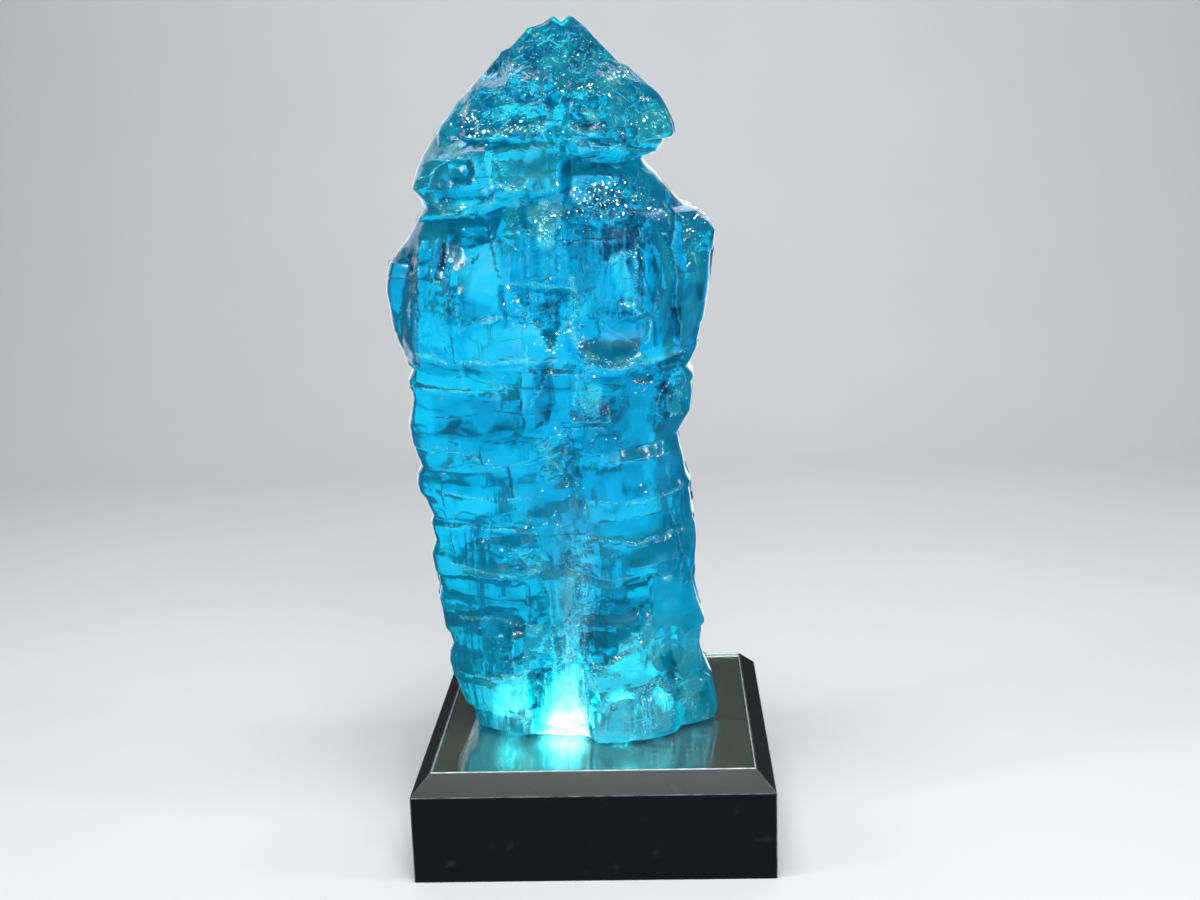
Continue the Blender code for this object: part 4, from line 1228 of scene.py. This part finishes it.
chance = np.random.default_rng(SEED + 2)
shape = bmesh.new()
for across, level, half_width, half_height, number in GLINT_PATCHES:
    for _ in range(number):
        aside, above = chance.normal(0.0, GLINT_SPREAD, 2)
        middle = Vector(points[nearest_point(across + aside * half_width, level + above * half_height)])
        to_light = (LIT_FROM[chance.integers(len(LIT_FROM))] - middle).normalized()
        face_way = to_light + (CAMERA_PLACE - middle).normalized()
        face_way = (face_way.normalized() + Vector(chance.normal(0.0, GLINT_TILT, 3))).normalized()
        smallest, spare = GLINT_RADII[int(number >= CROWDED and chance.random() < LARGE_SHARE)]
        radius = (smallest + spare * chance.random()) * MM
        way = Vector(chance.normal(0.0, 1.0, 3))
        add_flake(shape, middle, face_way, way, radius, chance.uniform(*GLINT_SLENDERNESS))
glints = finished_object("crack_glints", shape, flash)
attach(glints, "root")
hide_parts("crystal")


# The studio: a pale paper floor that sweeps up into a pale backdrop, with a small soft light on each
# side, a large one above, one in front that leaves no reflections, and one behind the stone.
SWEEP_HALF_WIDTH = 2.6
SWEEP_FRONT = -2.2
SWEEP_BACK = 1.1
SWEEP_HEIGHT = 2.4
SWEEP_RADIUS = 0.7
SWEEP_STEPS = 16
FLOOR_COLOUR = (0.60, 0.61, 0.62, 1.0)

studio, nodes, links, shader = new_material("pale_studio_paper")
shader.inputs["Roughness"].default_value = 0.8
paper = object_noise(nodes, links, 6, 4.0)
links.new(
    ramp(nodes, links, paper, ((0.3, FLOOR_COLOUR), (0.7, tuple(0.98 * part for part in FLOOR_COLOUR)))),
    shader.inputs["Base Color"],
)
profile = [(SWEEP_FRONT, 0.0)]
for step in range(SWEEP_STEPS + 1):
    turn = math.pi / 2 * step / SWEEP_STEPS
    profile.append((
        SWEEP_BACK + SWEEP_RADIUS * math.sin(turn), SWEEP_RADIUS * (1 - math.cos(turn)),
    ))
profile.append((SWEEP_BACK + SWEEP_RADIUS, SWEEP_HEIGHT))
shape = bmesh.new()
rows = [
    [shape.verts.new((side * SWEEP_HALF_WIDTH, y, z)) for side in (-1, 1)] for y, z in profile
]
for lower, upper in zip(rows, rows[1:]):
    shape.faces.new((lower[0], lower[1], upper[1], upper[0]))
sweep = finished_object("studio_sweep", shape, studio)
sweep.data.shade_smooth()
sweep.visible_glossy = sweep.visible_transmission = False


# What the light behind shines on: it comes through the stone
lit_through = bpy.data.collections.new("lit_through")
lit_through.objects.link(stone)
lit_through.objects.link(cracks)


# The light above shines on everything but the stone's surface, which keeps its depth
lit_from_below = bpy.data.collections.new("lit_from_below")
lit_from_below.objects.link(stone)
lit_from_below.collection_objects[0].light_linking.link_state = "EXCLUDE"


def area_light(name, place, aim, size, power, shines_on=None):
    data = bpy.data.lights.new(name, "AREA")
    data.shape = "RECTANGLE"
    data.size, data.size_y = size
    data.energy = power
    light = bpy.data.objects.new(name, data)
    light.location = place
    light.visible_camera = False
    light.light_linking.receiver_collection = shines_on
    light.rotation_euler = (Vector(aim) - Vector(place)).to_track_quat("-Z", "Y").to_euler()
    scene.collection.objects.link(light)
    return light


STONE_MIDDLE = (0.0, 0.0, 0.32)
LAMP_GLOW_PLACE = (-0.018, -0.036, 0.0779)
left_place, right_place, top_place = LIT_FROM
area_light("left_softbox", left_place, STONE_MIDDLE, (0.12, 0.4), 5)
area_light("right_softbox", right_place, STONE_MIDDLE, (0.12, 0.45), 5)
front_fill = area_light("front_fill", (0.3, -1.5, 1.0), STONE_MIDDLE, (1.2, 1.2), 22)
front_fill.visible_glossy = False
area_light("top_softbox", top_place, (0.0, -0.1, 0.1), (1.2, 0.42), 26, lit_from_below)
area_light("back_softbox", (-0.25, 1.0, 0.7), STONE_MIDDLE, (2.2, 2.2), 27, lit_through)
area_light("backdrop_light", (0.0, 0.6, 1.9), (0.0, 1.7, 0.5), (2.0, 0.5), 15)
# The lamp's light where it comes out of the glass and into the stone's foot
above_lamp = (*LAMP_GLOW_PLACE[:2], 0.3)
lamp_glow = area_light("lamp_glow", LAMP_GLOW_PLACE, above_lamp, (0.05, 0.045), 0.5)
lamp_glow.visible_transmission = lamp_glow.visible_glossy = False
world = bpy.data.worlds.new("studio_air")
world.use_nodes = True
world.node_tree.nodes["Background"].inputs["Color"].default_value = (0.9, 0.95, 1.0, 1.0)
world.node_tree.nodes["Background"].inputs["Strength"].default_value = 0.08
scene.world = world

# Light paths: enough bounces for light to find its way through the stone, and its glints held in
scene.cycles.max_bounces = 14
scene.cycles.transmission_bounces = 12
scene.cycles.glossy_bounces = 4
scene.cycles.transparent_max_bounces = 12
scene.cycles.diffuse_bounces = 2
scene.cycles.sample_clamp_indirect = 6.0
scene.cycles.use_denoising = True
